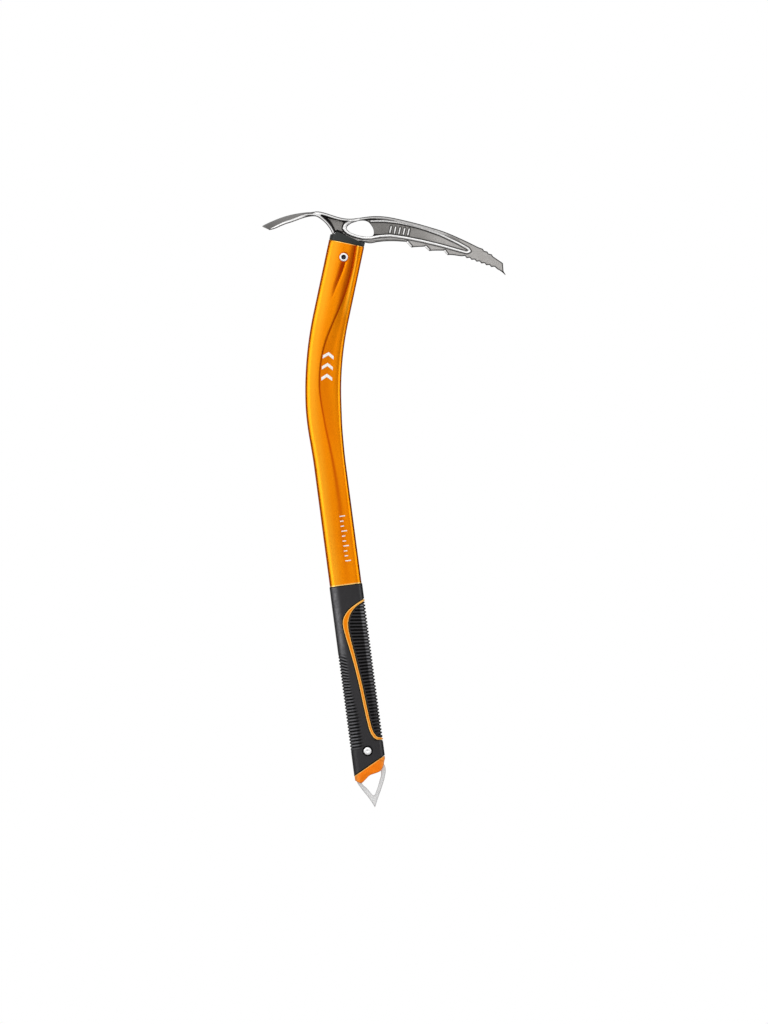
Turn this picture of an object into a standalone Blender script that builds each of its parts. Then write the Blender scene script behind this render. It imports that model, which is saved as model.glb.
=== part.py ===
"""A 59 cm mountaineering ice axe, built as its real pieces.

Run it with: blender --background --python part.py

The spike's point is the origin. +Z runs up the straight lower shaft, +X points the way the pick points,
and Y is the thickness, so the axe is symmetric about the plane Y = 0. All the sizes below are in
millimetres and angles in degrees; the meshes are in metres.
"""

import math

import bmesh
import bpy
from mathutils import Matrix, Vector

MM = 0.001
GAP = 0.3  # gap between neighbouring pieces
THROUGH = 30.0  # half depth of a cutter that goes right through the axe
SMOOTH, CORNER = "AUTO", "VECTOR"  # how an outline passes through one of its points
PLANES = {  # which way an outline's two axes and its depth point
    "XZ": Matrix(((1, 0, 0), (0, 0, -1), (0, 1, 0))).to_4x4(),
    "XY": Matrix.Identity(4),
    "YZ": Matrix(((0, 0, 1), (1, 0, 0), (0, 1, 0))).to_4x4(),
}

# The shaft's centre line: straight, then one bend towards the pick, then straight to the head.
STRAIGHT_LENGTH = 375.0
BEND_RADIUS = 355.0
BEND_ANGLE = math.radians(19.5)
TOP_LENGTH = 76.0
BEND_END = STRAIGHT_LENGTH + BEND_RADIUS * BEND_ANGLE
SHAFT_END = BEND_END + TOP_LENGTH

# The shaft tube's oval: half width across X, half thickness across Y.
OVAL_POWER = 2.5
OVAL_POINTS = 56
ROUND_SIDES = 32  # of the rivets and their holes
WALL = 1.3
TUBE_FOOT = 20.0  # the tube and grip start here, before their slanted cut
LOWER_OVAL = (16.0, 10.6)
UPPER_OVAL = (18.0, 10.0)
NECK_OVAL = (15.0, 9.9)  # the tube is swaged down under the grip
SWAGE_LENGTH = 3.0
WIDEN_FROM, WIDEN_TO = 345.0, 410.0

# The grip, its coloured loop and the ribbed pad inside the loop.
GRIP_TOP = 225.0
GRIP_OVAL = (16.6, 11.8)
NECK_TOP = GRIP_TOP + GAP
END_SLOPE = math.tan(math.radians(27.0))  # the shaft and grip are cut off at a slant
END_MIDDLE = 42.3  # height of that cut on the centre line

# The head: plate thicknesses and the flanges that make it an I-beam.
BODY_HALF = 3.6
TIP_HALF = 1.5
WEB_HALF = 1.9
POCKET_DEPTH = 3.0  # a pocket's cutter, out from the web
TAPER_FROM, TAPER_TO = 95.0, 200.0
TANG_HALF, TANG_HALF_WIDTH, TANG_LENGTH = 3.0, 12.0, 56.0
TANG_ROOT = 7.0  # how far above the tube's end the tang joins the head
ADZE_COLUMNS, FLANGE_COLUMNS = 18, 4

HEAD_RIVET_DROP = 14.5  # below the tube's top end, along the shaft
HEAD_RIVET = {"shank": 3.2, "head": 4.3, "bore": 2.3, "depth": 5.0, "thick": 1.1}
SPIKE_RIVET_Z = 57.0
SPIKE_RIVET = {"shank": 2.8, "head": 3.9, "thick": 1.5}
RIVET_WELL = 0.8  # clear ring round the spike's rivet, in the grip

SPIKE_HALF = 2.0
SPIKE_TANG_HALF_WIDTH = 9.0
SPIKE_TANG_TOP = 96.0

# The two end mouldings and the spigots that hold them in the tube.
GASKET_OVAL = (17.6, 9.8)
GASKET_HEIGHT = 15.0
COLLAR_OVAL = (16.2, 11.5)
SPIGOT_DEPTH = 8.0
SPIGOT_ROOT = 3.0

ORANGE = (0.93, 0.30, 0.015, 1.0)
COLLAR_ORANGE = (0.90, 0.22, 0.02, 1.0)
STEEL = (0.32, 0.31, 0.30, 1.0)
STAINLESS = (0.62, 0.61, 0.60, 1.0)
BLACK = (0.025, 0.024, 0.026, 1.0)
NYLON = (0.45, 0.44, 0.40, 1.0)


# ---- scene, materials and mesh helpers ----


def clear_scene():
    for obj in list(bpy.data.objects):
        bpy.data.objects.remove(obj, do_unlink=True)


def new_collection(name):
    made = bpy.data.collections.new(name)
    bpy.context.scene.collection.children.link(made)
    return made


def material(name, colour, roughness, metallic):
    made = bpy.data.materials.new(name)
    made.use_nodes = True
    shader = made.node_tree.nodes["Principled BSDF"]
    shader.inputs["Base Color"].default_value = colour
    shader.inputs["Roughness"].default_value = roughness
    shader.inputs["Metallic"].default_value = metallic
    made.diffuse_color = colour
    return made


def new_object(name, mesh, collection, finish=None):
    obj = bpy.data.objects.new(name, mesh)
    collection.objects.link(obj)
    if finish:
        mesh.materials.append(finish)
    mesh.shade_smooth()
    mesh.set_sharp_from_angle(angle=math.radians(35))
    return obj


def helper(obj):
    """Marks a cutter, or a shape that a Boolean joins to another, which isn't a piece itself."""
    obj.hide_render = True
    obj.display_type = "WIRE"
    return obj


def boolean(obj, operation, other):
    modifier = obj.modifiers.new(f"{operation.lower()} {other.name}", "BOOLEAN")
    modifier.operation = operation
    modifier.object = other
    modifier.solver = "EXACT"


def loft(name, rings, collection, finish=None, caps=True):
    """A skin over unlike rings of points in millimetres, closed at both ends or left open."""
    bm = bmesh.new()
    rows = [[bm.verts.new(Vector(p) * MM) for p in ring] for ring in rings]
    for low, high in zip(rows, rows[1:]):
        for i in range(len(low)):
            bm.faces.new((low[i - 1], low[i], high[i], high[i - 1]))
    if caps:
        bm.faces.new(rows[0][::-1])
        bm.faces.new(rows[-1])
        bmesh.ops.recalc_face_normals(bm, faces=bm.faces)
    mesh = bpy.data.meshes.new(name)
    bm.to_mesh(mesh)
    bm.free()
    return new_object(name, mesh, collection, finish)


def cross_bore(name, x, z, radius, collection):
    """A round cutter right across the axe, along Y."""
    bm = bmesh.new()
    turn = Matrix.Rotation(math.radians(90), 4, "X")
    bmesh.ops.create_cone(
        bm, cap_ends=True, segments=ROUND_SIDES, radius1=radius * MM, radius2=radius * MM,
        depth=2 * THROUGH * MM, matrix=Matrix.Translation(Vector((x, 0, z)) * MM) @ turn,
    )
    mesh = bpy.data.meshes.new(name)
    bm.to_mesh(mesh)
    bm.free()
    return helper(new_object(name, mesh, collection))


def outline(name, knots, half_depth, collection, finish=None, plane="XZ", steps=6):
    """A flat shape with the given outline, extruded to both sides of the origin.

    The knots are (x, z) in plane XZ, (x, y) in plane XY and (y, z) in plane YZ.
    """
    curve = bpy.data.curves.new(name, "CURVE")
    curve.dimensions = "2D"
    curve.fill_mode = "BOTH"
    curve.extrude = half_depth * MM
    curve.resolution_u = steps
    spline = curve.splines.new("BEZIER")
    spline.use_cyclic_u = True
    spline.bezier_points.add(len(knots) - 1)
    for point, (across, up, kind) in zip(spline.bezier_points, knots):
        point.co = Vector((across, up, 0)) * MM
        point.handle_left_type = kind
        point.handle_right_type = kind
    source = bpy.data.objects.new(name + " curve", curve)
    bpy.context.scene.collection.objects.link(source)
    bpy.context.view_layer.update()
    graph = bpy.context.evaluated_depsgraph_get()
    mesh = bpy.data.meshes.new_from_object(source.evaluated_get(graph))
    bpy.data.objects.remove(source, do_unlink=True)
    mesh.name = name
    mesh.transform(PLANES[plane])
    bm = bmesh.new()
    bm.from_mesh(mesh)
    bmesh.ops.remove_doubles(bm, verts=bm.verts, dist=0.00001)
    bmesh.ops.recalc_face_normals(bm, faces=bm.faces)
    bm.to_mesh(mesh)
    bm.free()
    return new_object(name, mesh, collection, finish)


def window(name, knots, collection, **settings):
    """A cutter with the given outline, right through the axe."""
    return helper(outline(name, knots, THROUGH, collection, **settings))


# ---- the shaft's centre line and oval ----


def centre_line(s):
    """The point (x, z) and the lean of the shaft's centre line, a distance s up from the spike's point."""
    if s <= STRAIGHT_LENGTH:
        return 0.0, s, 0.0
    lean = min((s - STRAIGHT_LENGTH) / BEND_RADIUS, BEND_ANGLE)
    beyond = max(0.0, s - BEND_END)
    x = BEND_RADIUS * (1 - math.cos(lean)) + beyond * math.sin(lean)
    z = STRAIGHT_LENGTH + BEND_RADIUS * math.sin(lean) + beyond * math.cos(lean)
    return x, z, lean


def ease(value, low, high):
    t = min(1.0, max(0.0, (value - low) / (high - low)))
    return t * t * (3 - 2 * t)


def shaft_oval(s):
    """The tube's half width and half thickness at s."""
    if s <= NECK_TOP:
        return NECK_OVAL
    t = ease(s, WIDEN_FROM, WIDEN_TO)
    return tuple(low + (high - low) * t for low, high in zip(LOWER_OVAL, UPPER_OVAL))


def oval_points(half_width, half_thickness):
    """The tube's cross section, a superellipse, as (across, y)."""
    points = []
    for i in range(OVAL_POINTS):
        angle = 2 * math.pi * i / OVAL_POINTS
        c, n = math.cos(angle), math.sin(angle)
        across = half_width * math.copysign(abs(c) ** (2 / OVAL_POWER), c)
        y = half_thickness * math.copysign(abs(n) ** (2 / OVAL_POWER), n)
        points.append((across, y))
    return points


def oval_ring(s):
    """The tube's outside at s, square to the centre line."""
    x, z, lean = centre_line(s)
    return [
        (x + across * math.cos(lean), y, z - across * math.sin(lean))
        for across, y in oval_points(*shaft_oval(s))
    ]


def on_centre_line(obj, s):
    """Moves a shape made upright at the origin to the centre line at s, leaning with it."""
    x, z, lean = centre_line(s)
    obj.location = Vector((x, 0, z)) * MM
    obj.rotation_euler.y = lean
    return obj


def oval_bar(name, low, high, oval, collection, finish=None):
    """A solid bar of the given oval along a straight stretch of the centre line."""
    knots = [(across, y, CORNER) for across, y in oval_points(*oval)]
    bar = outline(name, knots, (high - low) / 2, collection, finish, plane="XY", steps=1)
    return on_centre_line(bar, (low + high) / 2)


def block(name, low, high, half_width, y_low, y_high, collection):
    """A box along a straight stretch of the centre line."""
    bm = bmesh.new()
    bmesh.ops.create_cube(bm, size=1.0)
    size = Vector((2 * half_width, y_high - y_low, high - low)) * MM
    bmesh.ops.scale(bm, vec=size, verts=bm.verts)
    bmesh.ops.translate(bm, vec=Vector((0, (y_low + y_high) / 2, 0)) * MM, verts=bm.verts)
    mesh = bpy.data.meshes.new(name)
    bm.to_mesh(mesh)
    bm.free()
    return on_centre_line(new_object(name, mesh, collection), (low + high) / 2)


def inner_oval(s):
    """The oval of a piece that fits inside the tube at s."""
    return tuple(size - WALL - GAP for size in shaft_oval(s))


def end_cut(lift=0.0):
    """The part of space below the slanted end of the shaft and grip, raised by lift."""
    reach = 40.0
    low, high = (END_MIDDLE + lift + side * reach * END_SLOPE for side in (-1, 1))
    return [(-reach, low, CORNER), (reach, high, CORNER), (reach, -reach, CORNER), (-reach, -reach, CORNER)]


# ---- outlines in the X Z plane ----


def big_teeth():
    """Three hooked teeth: each has a steep face towards the shaft and a long back."""
    heels = [(105.5, 558.6), (123.3, 551.5), (141.5, 545.0)]
    points = [(109.6, 552.2), (126.8, 546.4), (144.4, 539.9)]
    knots = []
    for (heel_x, heel_z), (point_x, point_z) in zip(heels, points):
        knots.append((heel_x, heel_z, CORNER))
        knots.append(((heel_x + point_x) / 2 + 0.7, (heel_z + point_z) / 2 + 0.2, SMOOTH))
        knots.append((point_x, point_z, CORNER))
        knots.append((point_x + 1.6, point_z + 0.1, SMOOTH))
    return knots


def saw(start, end, count, depth, share):
    """Small teeth from start to end: each point stands depth out, at share of its pitch."""
    run = Vector(end) - Vector(start)
    pitch = run / count
    out = Vector((run.y, -run.x)).normalized() * depth
    knots = []
    for i in range(count):
        root = Vector(start) + pitch * i
        point = root + pitch * share + out
        knots += [(*root, CORNER), (*point, CORNER)]
    return knots


def head_outline():
    """The head from the side, without the adze: its lower edge, the tip, the top and the back."""
    top_teeth = saw((189.2, 532.8), (177.0, 542.8), 3, 1.1, 0.3)
    return [
        (62.5, 564.0, CORNER),
        (69.0, 561.9, SMOOTH),
        (77.0, 562.2, SMOOTH),
        (91.0, 561.2, SMOOTH),
        *big_teeth(),
        *saw((158.4, 537.0), (191.0, 520.0), 7, -1.5, 0.58),
        (192.4, 519.3, CORNER),
        (195.6, 516.9, SMOOTH),
        (200.0, 511.8, CORNER),
        (197.9, 516.6, CORNER),
        (198.4, 524.6, CORNER),
        *top_teeth,
        (176.4, 543.4, CORNER),
        (160.0, 554.2, SMOOTH),
        (140.0, 565.6, SMOOTH),
        (120.0, 573.9, SMOOTH),
        (105.0, 579.6, SMOOTH),
        (92.0, 584.2, SMOOTH),
        (82.0, 586.7, SMOOTH),
        (72.0, 587.8, SMOOTH),
        (62.0, 587.8, SMOOTH),
        (52.0, 588.0, SMOOTH),
        (42.0, 590.4, SMOOTH),
        (33.0, 594.6, SMOOTH),
        (25.0, 598.0, SMOOTH),
        (17.0, 599.2, CORNER),
        (17.0, 598.2, CORNER),
        (24.2, 593.6, SMOOTH),
        (31.2, 584.8, SMOOTH),
        (33.0, 579.6, SMOOTH),
        (33.4, 576.9, CORNER),
        (35.0, 577.0, CORNER),
        (37.5, 578.4, CORNER),
        (57.0, 565.8, CORNER),
    ]


def eye_outline():
    """The carabiner eye, a rounded triangle beside the shaft."""
    knots = [
        (47.6, 580.0), (51.0, 583.4), (57.0, 585.1), (64.0, 585.6), (69.3, 583.8), (72.6, 579.6),
        (74.3, 573.6), (73.2, 569.4), (69.8, 568.2), (62.5, 569.6), (54.5, 572.8), (49.3, 576.4),
    ]
    return [(x, z, SMOOTH) for x, z in knots]


def pick_pocket():
    """The long recess in each side of the pick, from the eye to a point near the tip."""
    return [
        (67.0, 582.6, CORNER),
        (80.0, 582.4, SMOOTH),
        (100.0, 577.8, SMOOTH),
        (120.0, 570.4, SMOOTH),
        (140.0, 560.3, SMOOTH),
        (160.0, 546.4, SMOOTH),
        (164.8, 541.2, SMOOTH),
        (158.0, 543.0, SMOOTH),
        (140.0, 551.3, SMOOTH),
        (120.0, 558.9, SMOOTH),
        (100.0, 565.5, SMOOTH),
        (76.0, 569.9, SMOOTH),
        (67.0, 571.4, CORNER),
    ]


def neck_pocket():
    """The recess between the adze, the eye and the gasket."""
    return [
        (37.6, 579.4, CORNER),
        (35.7, 578.4, CORNER),
        (34.6, 582.6, SMOOTH),
        (31.9, 588.8, SMOOTH),
        (27.4, 594.2, CORNER),
        (35.6, 591.0, SMOOTH),
        (43.6, 587.6, SMOOTH),
        (46.0, 586.0, CORNER),
        (43.5, 581.6, SMOOTH),
        (45.6, 575.6, CORNER),
    ]


def spike_outline():
    return [
        (0.0, 0.0, CORNER),
        (4.2, 9.0, SMOOTH),
        (9.5, 19.4, SMOOTH),
        (13.8, 29.5, SMOOTH),
        (15.6, 38.0, SMOOTH),
        (13.6, 44.5, CORNER),
        (SPIKE_TANG_HALF_WIDTH, 47.0, CORNER),
        (SPIKE_TANG_HALF_WIDTH, SPIKE_TANG_TOP, CORNER),
        (-SPIKE_TANG_HALF_WIDTH, SPIKE_TANG_TOP, CORNER),
        (-SPIKE_TANG_HALF_WIDTH, 40.0, CORNER),
        (-13.2, 36.0, CORNER),
        (-14.8, 28.6, SMOOTH),
        (-10.7, 19.8, SMOOTH),
        (-4.5, 9.4, SMOOTH),
    ]


def spike_eye():
    """The three-cornered eye between the spike's legs. The collar covers its top."""
    return [
        (-0.5, 12.1, CORNER),
        (1.3, 12.1, CORNER),
        (7.2, 24.0, SMOOTH),
        (10.2, 36.5, SMOOTH),
        (6.0, 40.0, SMOOTH),
        (-5.0, 36.0, SMOOTH),
        (-10.2, 27.2, SMOOTH),
        (-5.2, 19.4, SMOOTH),
    ]


def collar_outline():
    """The end collar from the side: its slanted top, and the wavy edge that the spike comes out of."""
    reach = 18.0
    low, high = (END_MIDDLE - GAP + side * reach * END_SLOPE for side in (-1, 1))
    return [
        (reach, high, CORNER),
        (-reach, low, CORNER),
        (-17.0, 30.0, CORNER),
        (-14.6, 28.2, SMOOTH),
        (-10.4, 26.2, SMOOTH),
        (-6.4, 28.6, SMOOTH),
        (-1.0, 32.6, SMOOTH),
        (5.0, 34.0, SMOOTH),
        (9.6, 35.4, SMOOTH),
        (13.2, 39.6, SMOOTH),
        (15.6, 46.0, SMOOTH),
        (17.0, 49.0, CORNER),
    ]


def loop_outer(inset):
    """The coloured loop's outer edge on the side of the grip, drawn in by inset."""
    i = inset
    return [
        (22.0, 211.0 - i, CORNER),
        (14.0, 207.4 - i, SMOOTH),
        (3.0 + i * 0.5, 201.4 - i, SMOOTH),
        (-5.0 + i, 193.8 - i * 0.6, SMOOTH),
        (-7.8 + i, 184.0, SMOOTH),
        (-6.4 + i, 170.0, SMOOTH),
        (-2.2 + i, 142.0, SMOOTH),
        (1.3 + i, 108.0, SMOOTH),
        (3.7 + i, 84.0, SMOOTH),
        (6.6 + i * 0.8, 71.2 + i * 0.6, SMOOTH),
        (12.0, 66.6 + i, SMOOTH),
        (22.0, 65.8 + i, CORNER),
    ]


def loop_inner(inset):
    """The coloured loop's inner edge, drawn in by inset: it leaves a band that swells at the top."""
    i = inset
    return [
        (22.0, 209.6 - i, CORNER),
        (14.6, 206.0 - i, SMOOTH),
        (6.6 + i * 0.5, 200.6 - i, SMOOTH),
        (0.2 + i, 193.4 - i * 0.6, SMOOTH),
        (-2.3 + i, 184.0, SMOOTH),
        (-1.6 + i, 170.0, SMOOTH),
        (1.7 + i, 142.0, SMOOTH),
        (4.6 + i, 108.0, SMOOTH),
        (6.7 + i, 84.0, SMOOTH),
        (9.4 + i * 0.8, 73.0 + i * 0.6, SMOOTH),
        (13.4, 69.0 + i, SMOOTH),
        (22.0, 68.2 + i, CORNER),
    ]


# ---- pieces ----


def sheet_section(columns, x, z, lean, half_width, thickness, drop=0.0, bow=0.0):
    """A cross section of the adze or of a flange: a strip across Y that leans by a number of degrees.

    The edges lie drop below the middle and bow behind it, both growing with the square of Y.
    """
    lean = math.radians(lean)
    along = Vector((math.cos(lean), 0, math.sin(lean)))
    out = Vector((-math.sin(lean), 0, math.cos(lean)))
    top, bottom = [], []
    for i in range(columns + 1):
        t = 2 * i / columns - 1
        middle = Vector((x, half_width * t, z)) + along * bow * t * t - out * drop * t * t
        top.append(middle + out * thickness / 2)
        bottom.append(middle - out * thickness / 2)
    return top + bottom[::-1]


def eased(sections, steps):
    """The sections with more between them, on smooth curves through their points."""
    made = []
    last = len(sections) - 1
    for i in range(last):
        before, start, end, after = (sections[min(max(i + k, 0), last)] for k in (-1, 0, 1, 2))
        for step in range(steps):
            t = step / steps
            weights = (
                -0.5 * t + t**2 - 0.5 * t**3,
                1 - 2.5 * t**2 + 1.5 * t**3,
                0.5 * t + 2 * t**2 - 1.5 * t**3,
                -0.5 * t**2 + 0.5 * t**3,
            )
            rows = zip(before, start, end, after)
            made.append([sum((p * w for p, w in zip(row, weights)), Vector()) for row in rows])
    return made + [sections[-1]]


def adze_and_back_flange(collection):
    """The arched adze blade, which narrows and turns down behind the head to stand on the gasket."""
    stations = [  # x, z, lean, half width, thickness, drop and bow
        (-36.0, 592.6, 20, 27.0, 0.7, 6.0, 4.5),
        (-31.0, 593.8, 18, 27.6, 2.0, 6.0, 4.8),
        (-21.0, 596.4, 13, 26.2, 2.6, 5.0, 6.0),
        (-11.0, 598.4, 7, 23.4, 2.8, 4.6, 4.0),
        (-2.0, 599.2, 3, 19.6, 3.0, 3.4, 2.0),
        (7.0, 599.3, 0, 15.6, 3.2, 1.8, 0.5),
        (14.0, 598.7, -9, 12.8, 3.2, 0.8, 0.0),
        (19.8, 596.9, -30, 11.0, 3.0, 0.0, 0.0),
        (24.2, 593.4, -44, 10.0, 2.8, 0.0, 0.0),
        (28.0, 589.0, -54, 9.2, 2.6, 0.0, 0.0),
        (31.0, 584.4, -63, 8.6, 2.6, 0.0, 0.0),
        (33.0, 579.8, -73, 8.3, 2.6, 0.0, 0.0),
        (33.9, 576.3, -80, 8.2, 2.6, 0.0, 0.0),
    ]
    sections = [sheet_section(ADZE_COLUMNS, *station) for station in stations]
    return helper(loft("adze blade", eased(sections, 3), collection))


def top_flange(collection):
    """The flange along the top of the head: a palm rest over the shaft, thinning along the pick."""
    stations = [  # x, z, lean, half width and thickness
        (5.0, 599.0, 0, 9.0, 1.2),
        (19.0, 599.1, -8, 10.8, 2.8),
        (27.0, 596.8, -22, 10.4, 2.8),
        (35.0, 593.0, -26, 9.6, 2.8),
        (43.0, 589.6, -19, 9.0, 2.6),
        (52.0, 587.5, -8, 8.4, 2.4),
        (62.0, 587.2, 0, 7.8, 2.4),
        (72.0, 587.2, -3, 7.2, 2.6),
        (82.0, 586.0, -10, 6.6, 2.8),
        (92.0, 583.5, -17, 6.0, 2.8),
        (105.0, 578.9, -21, 5.3, 2.8),
        (120.0, 573.0, -22, 4.7, 2.8),
        (135.0, 566.2, -26, 4.0, 2.8),
        (150.0, 558.2, -30, 3.1, 2.6),
        (166.0, 547.6, -35, 1.7, 2.2),
    ]
    sections = [sheet_section(FLANGE_COLUMNS, *station) for station in stations]
    return helper(loft("top flange", eased(sections, 3), collection))


def make_head(parts, cutters, finish):
    """The forged head in one piece: pick, adze, flanges and the tang that goes down the shaft."""
    head = outline("head", head_outline(), BODY_HALF + 1, parts, finish)
    plan = [(-20.0, -BODY_HALF), (TAPER_FROM, -BODY_HALF), (TAPER_TO + 2, -TIP_HALF)]
    plan = [(x, y, CORNER) for x, y in plan + [(x, -y) for x, y in plan[::-1]]]
    taper = helper(outline("pick taper", plan, 700.0, cutters, plane="XY"))
    boolean(head, "INTERSECT", taper)
    boolean(head, "UNION", adze_and_back_flange(cutters))
    boolean(head, "UNION", top_flange(cutters))

    low, high = SHAFT_END - TANG_LENGTH, SHAFT_END + TANG_ROOT
    tang = block("tang", low, high, TANG_HALF_WIDTH, -TANG_HALF, TANG_HALF, cutters)
    boolean(head, "UNION", helper(tang))

    for name, knots in (("pick pocket", pick_pocket()), ("neck pocket", neck_pocket())):
        for side in (-1, 1):
            cutter = helper(outline(f"{name} {side}", knots, POCKET_DEPTH, cutters))
            cutter.location.y = side * (WEB_HALF + POCKET_DEPTH) * MM
            boolean(head, "DIFFERENCE", cutter)
    boolean(head, "DIFFERENCE", window("carabiner eye", eye_outline(), cutters))
    x, z, _ = centre_line(SHAFT_END - HEAD_RIVET_DROP)
    boolean(head, "DIFFERENCE", cross_bore("tang hole", x, z, HEAD_RIVET["shank"] + GAP, cutters))


def make_gasket(parts, cutters, finish):
    """The moulded cap that seals the tube's top end, with a spigot inside it and a slot for the tang."""
    top = SHAFT_END + GASKET_HEIGHT
    gasket = oval_bar("head_gasket", SHAFT_END + GAP, top, GASKET_OVAL, parts, finish)
    low, high = SHAFT_END - SPIGOT_DEPTH, SHAFT_END + SPIGOT_ROOT
    boolean(gasket, "UNION", helper(oval_bar("gasket spigot", low, high, inner_oval(SHAFT_END), cutters)))
    head_underside = [
        (20.0, 574.4, CORNER),
        (30.0, 575.7, CORNER),
        (35.5, 575.7, CORNER),
        (35.9, 576.9, CORNER),
        (37.5, 577.9, CORNER),
        (56.8, 565.4, CORNER),
        (62.4, 563.6, CORNER),
        (75.0, 560.0, CORNER),
        (75.0, 610.0, CORNER),
        (20.0, 610.0, CORNER),
    ]
    boolean(gasket, "DIFFERENCE", window("head underside", head_underside, cutters))
    width, half = TANG_HALF_WIDTH + GAP, TANG_HALF + GAP
    slot = block("gasket slot", SHAFT_END - TANG_LENGTH, top + SPIGOT_ROOT, width, -half, half, cutters)
    boolean(gasket, "DIFFERENCE", helper(slot))


def make_packers(name, low, high, tang_half, rivet_s, rivet_radius, parts, cutters, finish):
    """The two moulded cheeks that hold a flat tang in the middle of the oval tube, front and back."""
    x, z, _ = centre_line(rivet_s)
    beyond = 5.0
    for side, word in ((-1, "front"), (1, "back")):
        packer = oval_bar(f"{name}_packer_{word}", low, high, inner_oval(low), parts, finish)
        y_low, y_high = sorted((side * (tang_half + GAP), -side * THROUGH))
        span = (low - beyond, high + beyond, THROUGH, y_low, y_high)
        boolean(packer, "DIFFERENCE", helper(block(f"{name} {word} half", *span, cutters)))
        hole = cross_bore(f"{name} {word} hole", x, z, rivet_radius + GAP, cutters)
        boolean(packer, "DIFFERENCE", hole)


def shaft_stations():
    """Where the tube's rings lie: close together only where the oval or the direction changes."""
    step = 10.0
    bend = [WIDEN_FROM + step * i for i in range(int((BEND_END - WIDEN_FROM) / step) + 1)]
    return [TUBE_FOOT, NECK_TOP, NECK_TOP + SWAGE_LENGTH, *bend, BEND_END, SHAFT_END]


def make_shaft(parts, cutters, finish):
    """The aluminium tube: an open skin of ovals with the wall added inside it, and two rivet holes."""
    rings = [oval_ring(s) for s in shaft_stations()]
    shaft = loft("shaft", rings, parts, finish, caps=False)
    wall = shaft.modifiers.new("wall", "SOLIDIFY")
    wall.thickness = WALL * MM
    wall.offset = -1.0
    wall.use_even_offset = True
    boolean(shaft, "DIFFERENCE", window("shaft end cut", end_cut(), cutters))
    for name, s, rivet in (
        ("shaft top hole", SHAFT_END - HEAD_RIVET_DROP, HEAD_RIVET),
        ("shaft low hole", SPIKE_RIVET_Z, SPIKE_RIVET),
    ):
        x, z, _ = centre_line(s)
        boolean(shaft, "DIFFERENCE", cross_bore(name, x, z, rivet["shank"] + GAP, cutters))


def grip_shell(name, parts, cutters, finish):
    """A length of the grip's wall, from which its three mouldings are cut."""
    beyond = 10.0
    shell = oval_bar(name, TUBE_FOOT, GRIP_TOP, GRIP_OVAL, parts, finish)
    inside = tuple(size + GAP for size in NECK_OVAL)
    core = oval_bar(name + " inside", TUBE_FOOT - beyond, GRIP_TOP + beyond, inside, cutters)
    boolean(shell, "DIFFERENCE", helper(core))
    return shell


def make_grip(parts, cutters, rubber, colour):
    """The black grip, the coloured loop set into it and the ribbed finger pad inside the loop."""
    grip = grip_shell("grip_sleeve", parts, cutters, rubber)
    boolean(grip, "DIFFERENCE", window("grip end cut", end_cut(), cutters))
    boolean(grip, "DIFFERENCE", window("loop window", loop_outer(0.0), cutters))
    well = SPIKE_RIVET["head"] + RIVET_WELL
    boolean(grip, "DIFFERENCE", cross_bore("grip rivet well", 0, SPIKE_RIVET_Z, well, cutters))

    loop = grip_shell("grip_loop", parts, cutters, colour)
    boolean(loop, "INTERSECT", window("loop area", loop_outer(GAP), cutters))
    boolean(loop, "DIFFERENCE", window("pad window", loop_inner(0.0), cutters))

    pad = grip_shell("finger_pad", parts, cutters, rubber)
    boolean(pad, "INTERSECT", window("pad area", loop_inner(GAP), cutters))


def make_collar(parts, cutters, finish):
    """The end collar: a skirt below the slanted cut, and a spigot inside the tube."""
    collar = outline("spike_collar", collar_outline(), THROUGH, parts, finish)
    foot, top = TUBE_FOOT, END_MIDDLE + SPIGOT_DEPTH
    boolean(collar, "INTERSECT", helper(oval_bar("collar column", foot, 2 * top, COLLAR_OVAL, cutters)))
    sides = [(-14, 60), (14, 60), (11.6, 36), (7.0, 24), (-7.0, 24), (-11.6, 36)]
    wedge = [(y, z, CORNER) for y, z in sides]
    boolean(collar, "INTERSECT", window("collar wedge", wedge, cutters, plane="YZ", steps=1))
    spigot = helper(oval_bar("collar spigot", foot, top, inner_oval(SPIKE_RIVET_Z), cutters))
    boolean(spigot, "DIFFERENCE", window("spigot root", end_cut(-SPIGOT_ROOT), cutters))
    boolean(collar, "UNION", spigot)
    slot = [
        (0.0, -2.0, CORNER),
        (15.9 + GAP, 20.0, CORNER),
        (15.6 + GAP, 38.2, SMOOTH),
        (13.8 + GAP, 45.0, CORNER),
        (SPIKE_TANG_HALF_WIDTH + GAP, 47.6, CORNER),
        (SPIKE_TANG_HALF_WIDTH + GAP, 70.0, CORNER),
        (-SPIKE_TANG_HALF_WIDTH - GAP, 70.0, CORNER),
        (-SPIKE_TANG_HALF_WIDTH - GAP, 40.4, CORNER),
        (-13.4 - GAP, 36.4, CORNER),
        (-14.9 - GAP, 29.0, CORNER),
        (-15.0, 20.0, CORNER),
    ]
    boolean(collar, "DIFFERENCE", helper(outline("spike slot", slot, SPIKE_HALF + GAP, cutters)))


def make_spike(parts, cutters, finish):
    """The stainless spike: two legs that meet in a point, and a tang up the shaft."""
    spike = outline("spike", spike_outline(), SPIKE_HALF, parts, finish)
    boolean(spike, "DIFFERENCE", window("spike eye", spike_eye(), cutters))
    hole = cross_bore("spike tang hole", 0, SPIKE_RIVET_Z, SPIKE_RIVET["shank"] + GAP, cutters)
    boolean(spike, "DIFFERENCE", hole)


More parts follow.
